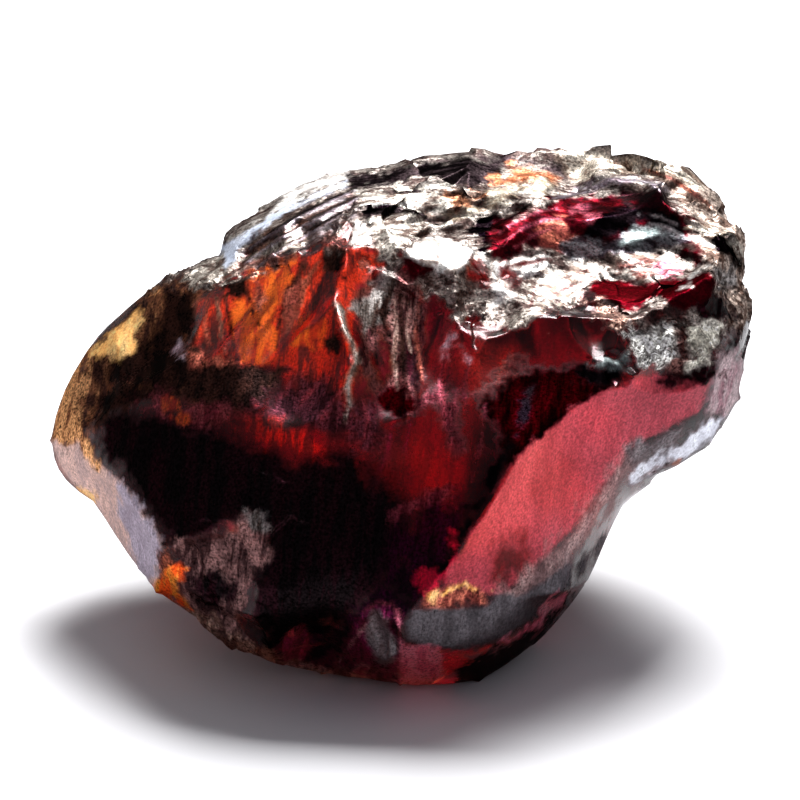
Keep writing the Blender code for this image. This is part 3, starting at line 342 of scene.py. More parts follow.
        (2.4, -5.1), (1.2, -5.2)]),
    "lens": ("slate", [(0.4, -5.2), (1.2, -5.2), (2.4, -5.1), (2.6, -4.8), (3.3, -4.8), (3.9, -4.4),
        (4.8, -3.9), (4.8, -4.6), (3.9, -5.4), (2.8, -6.1), (1.7, -6.4), (0.9, -6.3), (0.1, -6.1),
        (0.1, -5.6)]),
    "lensCausticLine": ("glow", [(1.2, -4.8), (1.4, -4.5), (1.8, -4.4), (2.0, -4.6), (2.5, -4.7), (2.0, -4.7),
        (1.7, -4.6), (1.5, -4.7)]),
    "lensCausticDrop": ("glow", [(0.8, -4.9), (0.9, -4.7), (1.0, -4.7), (0.9, -5.0)]),
    "footStrip": ("pinkMauve", [(0.1, -6.2), (0.9, -6.3), (1.4, -6.4), (1.2, -6.7), (1.2, -7.2),
        (0.4, -7.6), (0.0, -7.5), (0.0, -6.7)]),
    "footWine": ("wineDark", [(1.5, -6.7), (2.2, -6.5), (2.9, -6.2), (3.9, -5.4), (4.6, -4.8),
        (4.9, -4.8), (3.9, -6.2), (2.8, -7.3), (1.4, -7.5)]),
    # a painted red glint
    "footSpark": ("magentaHot", [(1.2, -6.4), (1.7, -6.5), (2.4, -6.3), (2.0, -6.5), (1.7, -6.7),
        (1.5, -6.8), (1.3, -7.1), (1.2, -6.8)]),
    "pinkRun": ("pinkMauve", [(2.9, -6.1), (3.4, -5.8), (4.0, -5.3), (4.6, -4.8), (4.6, -4.9),
        (3.9, -5.7), (3.0, -6.2)]),
    "pinkRunHot": ("pink", [(3.9, -5.4), (4.4, -5.0), (4.5, -5.1), (4.1, -5.5)]),
    # the top's slope and blade at the left
    "backSlope": ("haze", [(-3.8, 5.7), (-3.2, 6.6), (-2.6, 6.9), (-1.8, 7.1), (-1.5, 7.0), (-1.5, 6.8),
        (-2.7, 6.3), (-3.6, 5.8), (-4.6, 5.2), (-5.0, 4.9), (-5.0, 5.2), (-4.3, 5.7)]),
    "slopeStub": ("ashSpeck", [(-5.1, 5.2), (-4.8, 5.4), (-4.3, 5.8), (-3.5, 6.4), (-3.4, 6.3),
        (-4.0, 5.6), (-4.6, 5.2), (-5.0, 4.8)]),
    "blade": ("snow", [(-5.1, 4.6), (-5.0, 4.9), (-4.2, 5.3), (-3.6, 5.8), (-2.7, 6.2), (-2.0, 6.6),
        (-1.5, 6.8), (-1.5, 6.6), (-2.0, 6.4), (-2.7, 6.1), (-3.4, 5.7), (-4.0, 5.2), (-4.5, 4.8),
        (-4.7, 4.4), (-4.9, 4.2), (-5.1, 4.3)]),
    "underBlade": ("umberDark", [(-4.5, 4.7), (-4.0, 5.1), (-3.3, 5.6), (-2.4, 6.1), (-1.5, 6.5),
        (-1.2, 6.3), (-1.2, 5.9), (-2.0, 5.4), (-2.9, 4.9), (-3.6, 4.6), (-4.2, 4.4)]),
    "bladeFoot": ("slateLight", [(-2.9, 4.8), (-2.1, 5.4), (-1.2, 5.9), (-1.2, 5.7), (-2.0, 5.3),
        (-2.8, 4.6)]),
    "bladeLineD": ("bandDark", [(-3.08, 4.93), (-2.24, 5.54), (-1.23, 6.05)], 0.1),
    "bladeLineC": ("bandDark", [(-4.2, 4.76), (-3.47, 5.38), (-2.63, 5.91), (-1.57, 6.38)], 0.11),
    "bladeLineB": ("slateLight", [(-3.36, 4.93), (-2.58, 5.43), (-1.85, 5.82), (-1.29, 5.99)], 0.07),
    "bladeLineA": ("slateLight", [(-3.58, 5.15), (-2.8, 5.66), (-2.07, 6.05), (-1.57, 6.22)], 0.07),
    "speckLeft": ("chalkSpeck", [(-6.2, 4.0), (-5.0, 4.6), (-4.9, 4.2), (-4.5, 4.4), (-3.9, 4.8),
        (-3.6, 5.0), (-2.9, 5.2), (-2.6, 5.1), (-2.9, 4.6), (-3.2, 4.7), (-3.9, 4.4), (-4.5, 4.1),
        (-5.2, 3.9), (-5.9, 3.7)]),
    "browDark": ("umberSpeck", [(-4.8, 4.1), (-3.9, 4.4), (-2.9, 4.5), (-2.5, 4.8), (-2.1, 4.9),
        (-1.3, 4.8), (-1.4, 5.0), (-2.0, 5.2), (-2.8, 4.6), (-3.6, 4.7), (-4.3, 4.4)]),
    # the dark band and the pale runs along the top
    "darkBand": ("bandDark", [(-1.5, 6.9), (-0.6, 7.0), (0.6, 7.3), (1.2, 7.4), (2.4, 7.5), (3.2, 7.5),
        (4.1, 7.4), (4.6, 7.3), (4.9, 6.9), (4.5, 6.8), (3.9, 7.1), (3.0, 7.2), (2.8, 7.1), (3.0, 6.9),
        (2.5, 6.6), (1.9, 6.5), (1.3, 6.6), (0.9, 6.8), (0.0, 6.6), (-1.2, 6.5), (-1.5, 6.6)]),
    "bandStreak": ("chalkSpeck", [(-1.2, 6.4), (0.0, 6.6), (0.9, 6.7), (1.3, 6.6), (1.7, 6.5),
        (1.1, 6.3), (0.6, 6.0), (0.0, 6.2), (-0.4, 6.2), (-1.1, 6.0)]),
    "gapUnderBand": ("black", [(-1.1, 5.9), (-0.4, 6.2), (0.1, 6.0), (-0.2, 5.7), (-0.6, 5.6),
        (-1.0, 5.7)]),
    "browCream": ("chalkSpeck", [(-0.8, 5.5), (-0.2, 5.7), (0.3, 5.7), (0.7, 5.5), (0.6, 5.0),
        (0.1, 4.8), (-0.2, 4.4), (-0.6, 4.6), (-0.8, 4.9)]),
    "rust": ("rust", [(2.5, 6.6), (2.7, 6.8), (3.2, 6.9), (3.1, 7.2), (3.7, 7.1), (4.4, 6.9),
        (4.3, 6.7), (3.8, 6.7), (3.2, 6.7), (2.7, 6.6)]),
    "creamStreak": ("cream", [(2.4, 6.5), (3.0, 6.6), (3.8, 6.7), (4.3, 6.6), (4.1, 6.4), (3.6, 6.4),
        (3.0, 6.2), (2.6, 6.0), (1.9, 5.7), (1.4, 5.6), (1.1, 5.7), (1.4, 5.9), (2.0, 6.0),
        (2.4, 6.2)]),
    "brownPatch": ("brownSpeck", [(1.3, 6.4), (2.4, 6.4), (2.4, 6.2), (2.0, 6.0), (1.4, 5.9),
        (1.1, 6.2)]),
    "whiteRun": ("chalkSpeck", [(0.1, 6.0), (0.6, 6.2), (1.1, 6.2), (1.3, 5.9), (1.0, 5.7), (1.3, 5.6),
        (0.8, 5.5), (0.3, 5.7)]),
    "webTopC": ("bandDark", [(-0.56, 6.44), (0.28, 6.44), (1.01, 6.5)], 0.11),
    "webTopB": ("bandDark", [(-0.95, 5.71), (-0.22, 5.94), (0.56, 5.77), (1.12, 5.43)], 0.14),
    "webTopA": ("white", [(-1.12, 5.99), (-0.34, 6.16), (0.56, 5.99), (1.29, 5.66)], 0.085),
    # the white plates, the spike and the flakes at the middle
    "gapOverPlate": ("black", [(1.7, 5.5), (2.2, 5.7), (3.0, 5.7), (3.7, 6.1), (3.2, 5.5), (2.6, 5.1),
        (2.5, 4.5), (2.2, 4.6), (2.1, 5.0)]),
    "plateLeft": ("white", [(-1.4, 5.5), (-1.2, 5.6), (-0.9, 5.3), (-0.8, 4.9), (-0.9, 4.7),
        (-1.4, 5.0)]),
    "plate": ("white", [(0.1, 4.7), (0.8, 5.1), (1.0, 5.3), (1.1, 5.1), (1.3, 5.0), (1.9, 4.8),
        (2.0, 4.7), (1.9, 4.4), (1.7, 4.1), (1.4, 4.0), (1.0, 4.1), (0.3, 4.5)]),
    "redTriangle": ("redClear", [(0.1, 4.5), (0.9, 4.2), (0.8, 3.9), (0.3, 3.9), (0.2, 4.1)]),
    "crackG": ("umberDark", [(0.9, 5.1), (1.12, 4.76), (1.01, 4.31)], 0.045),
    "crackF": ("umberDark", [(0.56, 4.42), (1.01, 4.54), (1.57, 4.42)], 0.05),
    "underPlate": ("ashSpeck", [(0.3, 3.8), (1.0, 4.0), (1.5, 3.9), (2.0, 4.3), (2.2, 4.4), (2.5, 3.6),
        (2.6, 3.2), (3.0, 3.2), (3.4, 2.9), (2.8, 2.5), (2.3, 2.6), (1.8, 3.0), (1.5, 3.4),
        (1.1, 3.6)]),
    "facetRed": ("umberRed", [(2.0, 4.4), (2.3, 4.5), (2.6, 3.8), (2.4, 3.6), (1.9, 3.9)]),
    "facetRedRight": ("umberRed", [(2.8, 4.4), (3.2, 4.1), (3.4, 3.9), (3.3, 3.6), (3.0, 3.7),
        (2.7, 4.0)]),
    "spike": ("white", [(2.3, 4.6), (2.4, 4.5), (2.6, 4.1), (2.7, 4.4), (2.7, 4.0), (3.1, 3.5),
        (3.0, 3.3), (2.6, 3.2), (2.6, 3.6), (2.5, 4.1)]),
    "flake": ("white", [(2.9, 4.3), (3.4, 4.5), (4.3, 4.6), (4.1, 4.3), (3.8, 4.1), (3.5, 3.9),
        (3.2, 4.1)]),
    "flakeSpeck": ("chalkSpeck", [(3.5, 3.8), (3.7, 3.9), (3.8, 3.3), (3.6, 3.2)]),
    # the red basin and its ripples
    "basin": ("wineClear", [(2.4, 5.0), (2.7, 5.5), (3.9, 6.0), (4.5, 6.3), (5.6, 6.5), (6.6, 6.5),
        (7.3, 6.3), (8.0, 5.8), (8.4, 5.4), (8.1, 5.0), (7.6, 4.8), (6.9, 4.6), (5.6, 4.5), (4.5, 4.6),
        (4.3, 4.8), (3.6, 4.8), (3.0, 4.5), (2.6, 4.5)]),
    "basinGlow": ("salmon", [(4.1, 5.3), (4.5, 5.5), (4.7, 5.2), (4.5, 4.8), (4.1, 5.0)]),
    "basinPale": ("mauve", [(4.8, 5.9), (5.3, 6.0), (5.7, 5.7), (5.6, 5.4), (5.2, 5.5)]),
    "rippleC": ("mauve", [(3.19, 4.82), (3.7, 5.15), (4.26, 5.38)], 0.06),
    "rippleB": ("mauve", [(2.97, 5.04), (3.42, 5.35), (3.98, 5.6), (4.48, 5.68)], 0.06),
    "rippleA": ("mauve", [(2.8, 5.24), (3.25, 5.57), (3.81, 5.82), (4.42, 5.96)], 0.06),
    "basinBlack": ("black", [(5.0, 5.4), (5.8, 5.8), (6.4, 6.1), (7.2, 6.0), (7.6, 5.9), (7.9, 5.6),
        (8.0, 5.2), (7.4, 5.3), (6.7, 5.5), (6.3, 5.2), (5.8, 5.0), (5.1, 5.1)]),
    "basinAsh": ("slateSpeck", [(4.5, 4.9), (5.1, 5.1), (5.9, 5.0), (6.4, 5.3), (6.7, 5.5), (7.4, 5.3),
        (8.0, 5.1), (7.7, 4.8), (6.9, 4.6), (5.6, 4.5), (4.6, 4.5)]),
    "basinFrost": ("frost", [(6.6, 5.4), (7.2, 5.4), (7.3, 5.2), (6.9, 5.0), (6.8, 4.9), (6.3, 4.9),
        (6.2, 5.0), (6.6, 5.2)]),
    "rippleE": ("slateLight", [(7.0, 5.54), (7.5, 5.4), (7.84, 5.21)], 0.06),
    "rippleD": ("slateLight", [(6.72, 5.82), (7.28, 5.71), (7.78, 5.49)], 0.06),
    "rimLilac": ("rimLilac", [(4.5, 6.3), (4.8, 6.5), (5.6, 6.8), (6.6, 6.9), (7.4, 6.7), (7.8, 6.4),
        (7.4, 6.5), (6.9, 6.7), (5.9, 6.6), (5.2, 6.4)]),
    "rimGap": ("wineDark", [(5.6, 6.4), (6.6, 6.5), (7.2, 6.4), (7.4, 6.2), (7.0, 6.0), (6.2, 6.2),
        (5.6, 6.2)]),
    # the crumbling right rim
    "crumbleTop": ("creamSpeck", [(4.5, 7.6), (5.2, 7.9), (5.9, 7.8), (6.7, 7.6), (7.5, 7.5),
        (8.1, 7.2), (8.7, 6.6), (8.4, 6.4), (7.8, 6.6), (7.4, 6.8), (6.7, 6.9), (5.7, 7.0), (4.9, 6.7),
        (4.8, 6.9)]),
    "crumbleRight": ("ashWarm", [(7.5, 6.7), (8.4, 6.6), (8.8, 6.6), (9.4, 6.2), (9.7, 5.7), (9.9, 5.0),
        (9.9, 3.6), (9.7, 2.5), (9.1, 2.7), (8.8, 3.4), (8.7, 4.0), (8.5, 4.4), (8.4, 5.0), (8.4, 5.4),
        (8.0, 5.9)]),
    "crumbleRed": ("redClear", [(8.0, 5.9), (8.4, 5.7), (8.5, 5.6), (8.1, 5.6)]),
    "crumbleLineD": ("bandDark", [(8.51, 4.42), (9.02, 4.14), (9.52, 3.64)], 0.11),
    "crumbleLineC": ("white", [(8.12, 5.15), (8.74, 4.93), (9.3, 4.76)], 0.085),
    "crumbleLineB": ("bandDark", [(6.16, 7.56), (7.0, 7.34), (7.95, 7.0), (8.57, 6.61)], 0.085),
    "crumbleLineA": ("rustDark", [(5.6, 7.28), (6.44, 7.22), (7.28, 7.0), (8.12, 6.55),
        (8.85, 5.99)], 0.085),
    "crumbleCream": ("cream", [(8.0, 5.6), (8.6, 5.4), (9.2, 5.3), (9.1, 5.2), (8.6, 5.2), (8.0, 5.4)]),
    "crumbleBlack": ("black", [(8.7, 5.2), (9.2, 5.2), (9.5, 4.9), (9.8, 4.4), (9.7, 4.2), (9.2, 4.4),
        (8.8, 4.7)]),
    "crumbleWhite": ("chalkSpeck", [(9.2, 5.0), (9.7, 4.9), (9.8, 4.5), (9.5, 4.5)]),
    "crumbleAsh": ("ash", [(8.7, 4.3), (9.3, 4.3), (9.4, 3.8), (9.0, 3.6), (8.7, 3.9)]),
    "crumbleWine": ("wineDark", [(8.2, 3.2), (8.7, 3.6), (9.2, 3.4), (9.4, 2.9), (9.0, 2.7),
        (8.5, 2.8)]),
    # the pale shelf and the red window under it
    "shelf": ("chalk", [(4.0, 4.1), (4.8, 4.3), (5.6, 4.4), (6.2, 4.6), (7.0, 4.7), (7.6, 4.7),
        (7.4, 4.5), (7.2, 4.3), (7.1, 3.9), (6.7, 3.8), (6.2, 4.1), (5.7, 4.0), (5.3, 3.8), (5.0, 3.4),
        (4.5, 3.3), (4.0, 3.1), (3.9, 2.8), (3.5, 2.7), (3.5, 3.0), (3.9, 3.2), (3.9, 3.6)]),
    "shelfLines": ("creamLined", [(6.1, 4.4), (6.7, 4.5), (7.2, 4.4), (7.1, 3.9), (6.9, 3.8),
        (6.4, 4.1), (5.8, 4.1)]),
    "crackE": ("umberRed", [(3.42, 2.74), (3.64, 3.19), (3.75, 3.7)], 0.06),
    "crackD": ("umberRed", [(5.6, 4.12), (6.3, 4.26), (7.0, 4.26)], 0.045),
    "crackC": ("umberRed", [(4.14, 3.75), (4.9, 4.06), (5.6, 4.26), (6.44, 4.42)], 0.05),
    "crackB": ("umberRed", [(3.92, 3.3), (4.48, 3.56), (5.04, 3.84), (5.6, 4.06)], 0.05),
    "crackA": ("umberRed", [(2.94, 4.23), (3.64, 4.4), (4.37, 4.51)], 0.05),
    "shelfFoot": ("chalkSpeck", [(2.4, 2.6), (3.1, 2.9), (3.9, 3.1), (3.9, 2.7), (3.1, 2.5),
        (2.7, 2.5)]),
    "window": ("redClear", [(5.0, 3.4), (5.4, 3.8), (5.8, 4.0), (6.2, 3.9), (6.8, 3.8), (7.1, 3.9),
        (7.8, 4.0), (8.4, 4.2), (8.7, 4.1), (8.8, 3.8), (8.7, 3.5), (8.1, 3.1), (7.6, 3.1), (7.2, 3.4),
        (6.9, 3.3), (6.6, 3.0), (6.2, 3.0), (5.6, 3.4)]),
    "windowRing": ("redClear", [(7.6, 4.7), (8.0, 4.8), (8.4, 4.8), (8.5, 4.4), (8.3, 4.2), (8.1, 4.3),
        (8.1, 4.5), (7.6, 4.5)]),
    "pinkPatch": ("pink", [(7.2, 4.4), (7.6, 4.6), (7.6, 4.4), (8.0, 4.5), (8.1, 4.3), (7.8, 4.0),
        (7.4, 4.0), (7.2, 4.2)]),
    "whiteChip": ("white", [(7.9, 3.9), (8.3, 4.3), (8.5, 4.3), (8.3, 4.0), (8.1, 3.8), (7.9, 3.8)]),
    # the facets at the right end of the brow
    "wedge": ("tanDark", [(5.0, 3.4), (5.5, 3.4), (6.0, 3.1), (6.6, 2.8), (6.8, 2.5), (6.4, 2.5),
        (5.9, 2.6), (5.3, 3.1)]),
    "brownSpot": ("umberDark", [(6.6, 3.0), (7.2, 3.1), (7.6, 3.1), (7.8, 2.8), (7.4, 2.7), (6.8, 2.6),
        (6.5, 2.8)]),
    "hackle": ("silver", [(6.4, 2.7), (6.8, 2.5), (7.6, 2.7), (7.6, 2.3), (7.8, 1.8), (7.2, 1.5),
        (6.6, 1.5), (6.4, 2.0), (6.2, 2.4)]),
    "hackleGap": ("umberSpeck", [(7.6, 2.5), (8.0, 2.7), (8.1, 2.2), (8.1, 1.6), (8.0, 1.2), (7.5, 1.1),
        (7.4, 1.5), (7.8, 1.8)]),
    "creamFacet": ("creamDotted", [(8.0, 2.6), (9.0, 2.7), (8.8, 2.1), (8.7, 1.7), (8.2, 1.3),
        (8.0, 1.3), (8.1, 1.7)]),
    "underCream": ("wineDark", [(7.1, 1.0), (7.3, 1.3), (8.1, 1.2), (8.7, 1.5), (9.2, 2.3), (9.5, 2.5),
        (9.4, 2.0), (8.8, 1.3), (8.4, 1.0), (7.7, 1.1), (7.4, 0.9)]),
    "frostWedge": ("frost", [(5.3, 1.5), (5.6, 1.6), (5.9, 1.7), (6.2, 1.9), (6.6, 1.4), (6.0, 1.3),
        (5.5, 1.5)]),
    "nook": ("black", [(5.0, 1.4), (5.5, 1.4), (6.1, 1.4), (6.2, 1.2), (5.8, 0.9), (5.3, 1.0)]),
}

# The weathered top, from the brow up: the patches from "backSlope" on lie over it.
brow = [(-6.8, 4.0), (-5.7, 3.9), (-5.1, 3.9), (-4.4, 4.3), (-3.5, 4.6), (-2.4, 5.0), (-1.6, 5.1),
        (-0.8, 4.8), (0.1, 4.4), (0.9, 3.7), (1.6, 3.0), (2.3, 2.6), (3.3, 2.7), (3.9, 2.8), (4.5, 3.2),
        (5.0, 3.4), (5.8, 2.8), (6.4, 2.0), (6.9, 1.6), (8.1, 1.3), (8.8, 1.6), (9.5, 2.4), (10.6, 3.0),
        (10.6, 9.0), (-6.8, 9.0)]


def frontMeasures(points):
    # across, up and out on the leaning front, in mm
    s, c = math.sin(frontLean), math.cos(frontLean)
    x, y, z = ((points - np.array(frontMiddle)) / mm).T
    return x, z * c + y * s, z * s - y * c


def rise(value, start, reach):
    # 0 up to the start, then evenly up to 1 over the reach
    return np.clip((value - start) / reach, 0, 1)


def clouds(inMm, perMm):
    # smooth noise around 0 at each point
    return np.array([noise.noise(Vector(p) * perMm) for p in inMm])


def widened(line, width):
    # the outline of a thin line, which narrows towards its two ends
    left, right = [], []
    last = len(line) - 1
    for i, (x, y) in enumerate(line):
        (ax, ay), (bx, by) = line[max(i - 1, 0)], line[min(i + 1, last)]
        half = width / 2 * (0.35 if i in (0, last) else 1.0) / math.hypot(bx - ax, by - ay)
        left.append((x - (by - ay) * half, y + (bx - ax) * half))
        right.append((x + (by - ay) * half, y - (bx - ax) * half))
    return left + right[::-1]


def signedDistance(outline, across, up, reach=1.5):
    # in mm, above 0 inside the outline; points further out than the reach get less than -reach
    xs, ys = zip(*outline)
    near = (across > min(xs) - reach) & (across < max(xs) + reach)
    near &= (up > min(ys) - reach) & (up < max(ys) + reach)
    result = np.full(len(across), -2 * reach)
    a, u = across[near], up[near]
    nearest = np.full(len(a), 1e9)
    inside = np.zeros(len(a), bool)
    for (ax, ay), (bx, by) in zip(outline, outline[1:] + outline[:1]):
        dx, dy = bx - ax, by - ay
        t = np.clip(((a - ax) * dx + (u - ay) * dy) / (dx * dx + dy * dy), 0, 1)
        nearest = np.minimum(nearest, np.hypot(a - ax - t * dx, u - ay - t * dy))
        if ay != by:
            inside ^= ((ay > u) != (by > u)) & (a < dx * (u - ay) / dy + ax)
    result[near] = np.where(inside, nearest, -nearest)
    return result


# What shapes the stone. Lengths are in mm, angles in degrees.
garnetStone = {
    "ridgeAngle": 24,                   # a sharper turn than this stays a ridge
    "shadeAngle": 28,                   # a sharper turn than this isn't shaded over
    "skinGrain": 0.080,                 # the longest edge on the rough top
    "frontGrain": 0.115,                # on the clean front
    "backGrain": 0.28,                  # on the back
    "splitOver": 1.35,                  # edges this many times too long are split
    "settling": 10,                     # how often the faces between the ridges are relaxed
    "wobbleCells": (1.6, 5.0),          # per mm, the two noises that break up the patches' edges
    "wobbleSeed": 5,
    "backStart": 3.6, "backFade": 1.2,  # how far behind the front the patches end, and how softly
    "backClouds": 0.45,                 # per mm
    "skinCell": 0.62, "skinTilt": 0.30,          # the splinters' width and how steep they stand
    "splinterCell": 0.30, "splinterTilt": 0.26,  # smaller ones on top of them
    "splinterLength": 2.6,              # times its width
    "splinterFan": (3.0, -6.0),         # they lie in arcs around this point of the front
    "fanRadius": 12,                    # where an arc is measured
    "crustCell": 0.42, "crustTilt": 0.35,
    "flutes": 3.6, "fluteDepth": 0.05,  # per mm, and how deep
    "embers": 3.0, "emberDepth": 0.03,
    "ripples": 11.0, "rippleDepth": 0.012, "rippleMiddle": (6.6, 7.4),
    "stepPitch": 0.27, "stepDepth": 0.025,       # the fine steps under the blade
    "stepStart": (-4.8, 4.0), "stepRun": (0.81, 0.58),
    "linePitch": 0.22, "lineDepth": 0.0125,      # the fine lines on the shelf
    "plateRise": 0.05, "raised": ("plate", "plateLeft", "shelf", "creamStreak", "flake"),
    # how much of the splinters these patches take away
    "calm": {"basin": 0.85, "window": 0.9, "darkBand": 0.9, "blade": 1.0, "plate": 0.6,
             "shelf": 0.5, "underBlade": 0.95, "backSlope": 0.7},
    # how wide a patch's edge fades, and how far the noise moves it
    "plainBlur": 0.18, "crispRagged": 0.12,
    "lineBlur": 0.09, "lineRagged": 0.05,
    "browBlur": 0.4, "browRagged": 0.7,
    "softBlurs": {"shoulder": 0.6, "shoulderShade": 0.8, "night": 0.6, "nightHaze": 0.5, "ember": 0.3,
                  "emberLine": 0.5, "emberWedge": 0.4, "fluteGlow": 0.4, "bruise": 0.8, "haze": 0.6,
                  "redHeart": 1.2, "plumFoot": 0.6, "plumTop": 0.6, "plumMiddle": 0.8, "arrisPaintedShade": 0.5,
                  "bellyBlush": 0.6, "bellyBlot": 0.7, "bellyEdgeReflection": 0.5, "bellyDusk": 0.6,
                  "crustShade": 0.4, "basinGlow": 0.5},
    "crispBlurs": {"bevel": 0.1, "belly": 0.12, "lens": 0.12, "lensCausticLine": 0.08, "lensCausticDrop": 0.08,
                   "blade": 0.1, "plate": 0.1, "ovalChip": 0.12, "window": 0.12, "redTriangle": 0.1},
}


def refine(bm):
    # splits long edges, finest on the rough top and coarsest on the back
    browReach, backOut, backUp = 0.6, 2.8, 5
    for _ in range(7):
        edges = list(bm.edges)
        middles = np.array([(e.verts[0].co + e.verts[1].co) / 2 for e in edges])
        lengths = np.array([(e.verts[0].co - e.verts[1].co).length for e in edges]) / mm
        across, up, out = frontMeasures(middles)
        onTop = signedDistance(brow, across, up) > -browReach
        grain = np.where(onTop, garnetStone["skinGrain"], garnetStone["frontGrain"])
        onBack = out < -backOut - 0.15 * np.maximum(up - backUp, 0)
        grain = np.where(onBack, garnetStone["backGrain"], grain)
        wanted = [edges[i] for i in np.nonzero(lengths > grain * garnetStone["splitOver"])[0]]
        if not wanted:
            break
        bmesh.ops.subdivide_edges(bm, edges=wanted, cuts=1)
        bmesh.ops.triangulate(bm, faces=[f for f in bm.faces if len(f.verts) > 3])
    print("  refined to", len(bm.faces), "faces")


def facet(spot, tilt):
    # height of small flat facets, each tilted its own way
    middle = noise.voronoi(spot)[1][0]
    lean = noise.noise_vector(middle * 5.7)
    return tilt * lean.dot(spot - middle)


def layPatches(across, up, facing, wobble):
    # returns the colour, the streak colour and the three numbers of the finish at each point,
    # and how far each patch covers it
    looks = {}
    for name, (main, streak, silver, dull, speck) in finishes.items():
        looks[name] = np.array([*main, *streak, silver, dull, speck])
    laid = np.tile(looks["crimson"], (len(across), 1))
    cover = {}

    def lay(share, finish):
        laid[:] = laid * (1 - share[:, None]) + looks[finish] * share[:, None]

    def spread(outline, blur, ragged):
        distance = signedDistance(outline, across, up)
        return np.clip(0.5 + (distance + wobble * ragged) / blur, 0, 1) * facing

    softBlurs, crispBlurs = garnetStone["softBlurs"], garnetStone["crispBlurs"]
    for name, (finish, outline, *width) in patches.items():
        if name == "backSlope":
            cover["topSkin"] = spread(brow, garnetStone["browBlur"], garnetStone["browRagged"])
            lay(cover["topSkin"], "ashSpeck")
        if width:
            outline = widened(outline, width[0])
            blur, ragged = garnetStone["lineBlur"], garnetStone["lineRagged"]
        elif name in crispBlurs:
            blur, ragged = crispBlurs[name], garnetStone["crispRagged"]
        else:
            blur = softBlurs.get(name, garnetStone["plainBlur"])
            ragged = 0.5 * min(blur, 0.6) + 0.15
        cover[name] = spread(outline, blur, ragged)
        lay(cover[name], finish)
    return laid, cover, lay


def splinterGrain(across, up, out, onTop):
    # splinters run along arcs over the top, and down the front below the brow
    fanAcross, fanUp = garnetStone["splinterFan"]
    ring = np.hypot(across - fanAcross, up - fanUp)
    turn = np.arctan2(across - fanAcross, up - fanUp) * garnetStone["fanRadius"]
    overTop = np.stack([ring, turn / garnetStone["splinterLength"], out], axis=1)
    downFront = np.stack([across - 0.1 * up, up / 6, out * 0.3], axis=1)
    return overTop * onTop[:, None] + downFront * (1 - onTop[:, None])


def roughen(cover, across, up, inMm, grain):
    # how far the splinters, the crust and the streaks stand out, in mm
    height = np.zeros(len(across))
    calm = sum(share * cover[name] for name, share in garnetStone["calm"].items())
    rough = np.clip(cover["topSkin"] - calm, 0, 1)
    skinCell, splinterCell, crustCell = (garnetStone[k] for k in ("skinCell", "splinterCell", "crustCell"))
    for i in np.nonzero(rough > 0.01)[0]:
        spot = Vector(grain[i])
        h = facet(spot / skinCell, garnetStone["skinTilt"]) * skinCell
        h += facet(spot / splinterCell, garnetStone["splinterTilt"]) * splinterCell
        height[i] = h * rough[i]
    for i in np.nonzero(cover["crust"] > 0.01)[0]:
        h = facet(Vector(inMm[i]) / crustCell, garnetStone["crustTilt"]) * crustCell
        height[i] += h * cover["crust"][i]
    for name, perMm, depth in (("flute", "flutes", "fluteDepth"), ("ember", "embers", "emberDepth")):
        for i in np.nonzero(cover[name] > 0.01)[0]:
            streak = Vector((across[i] * garnetStone[perMm], up[i] * 0.5, 0.0))
            height[i] += noise.noise(streak) * garnetStone[depth] * cover[name][i]
    return height


def finelyLined(cover, lay, across, up, wobble):
    # ripples in the basin, steps under the blade and lines on the shelf: their height in mm,
    # and the crests of the last two in a finish of their own
    middleAcross, middleUp = garnetStone["rippleMiddle"]
    ripples = np.sin(np.hypot(across - middleAcross, up - middleUp) * garnetStone["ripples"])
    height = ripples * garnetStone["rippleDepth"] * cover["basin"]

    (startAcross, startUp), (runAcross, runUp) = garnetStone["stepStart"], garnetStone["stepRun"]
    along = (across - startAcross) * runAcross + (up - startUp) * runUp
    beside = (up - startUp) * runAcross - (across - startAcross) * runUp
    curved = beside + 0.02 * along ** 2 + wobble * 0.04
    steps = np.sin(curved * 2 * np.pi / garnetStone["stepPitch"])
    height += steps * garnetStone["stepDepth"] * cover["underBlade"]
    lay(rise(steps, 0.5, 1 / 3) * cover["underBlade"] * 0.8, "rimLilac")

    curved = up - 0.25 * across + 0.06 * (across - 7) ** 2 + wobble * 0.08
    lines = np.sin(curved * 2 * np.pi / garnetStone["linePitch"])
    height += lines * garnetStone["lineDepth"] * cover["shelfLines"]
    lay(rise(lines, 0.6, 0.4) * cover["shelfLines"], "umberRed")
    return height


def layBack(lay, back, across, up, inMm, wobble):
    # frosted red with plum clouds, a paler left painted where the light comes through, and a little
    # of the top's ash along the rim
    lighter = rise(-across, -0.8, 2.0) * rise(up, -1.2, 1.5)
    mottle = clouds(inMm, garnetStone["backClouds"]) + wobble * 0.16
    lay(back, "backRed")
    lay(back * rise(mottle, -0.05, 1 / 3) * (1 - lighter) * 0.9, "backPlum")
    lay(back * lighter, "straw")
    lay(back * rise(mottle, 0.12, 0.125) * rise(up, 2.2, 1.2), "backAsh")


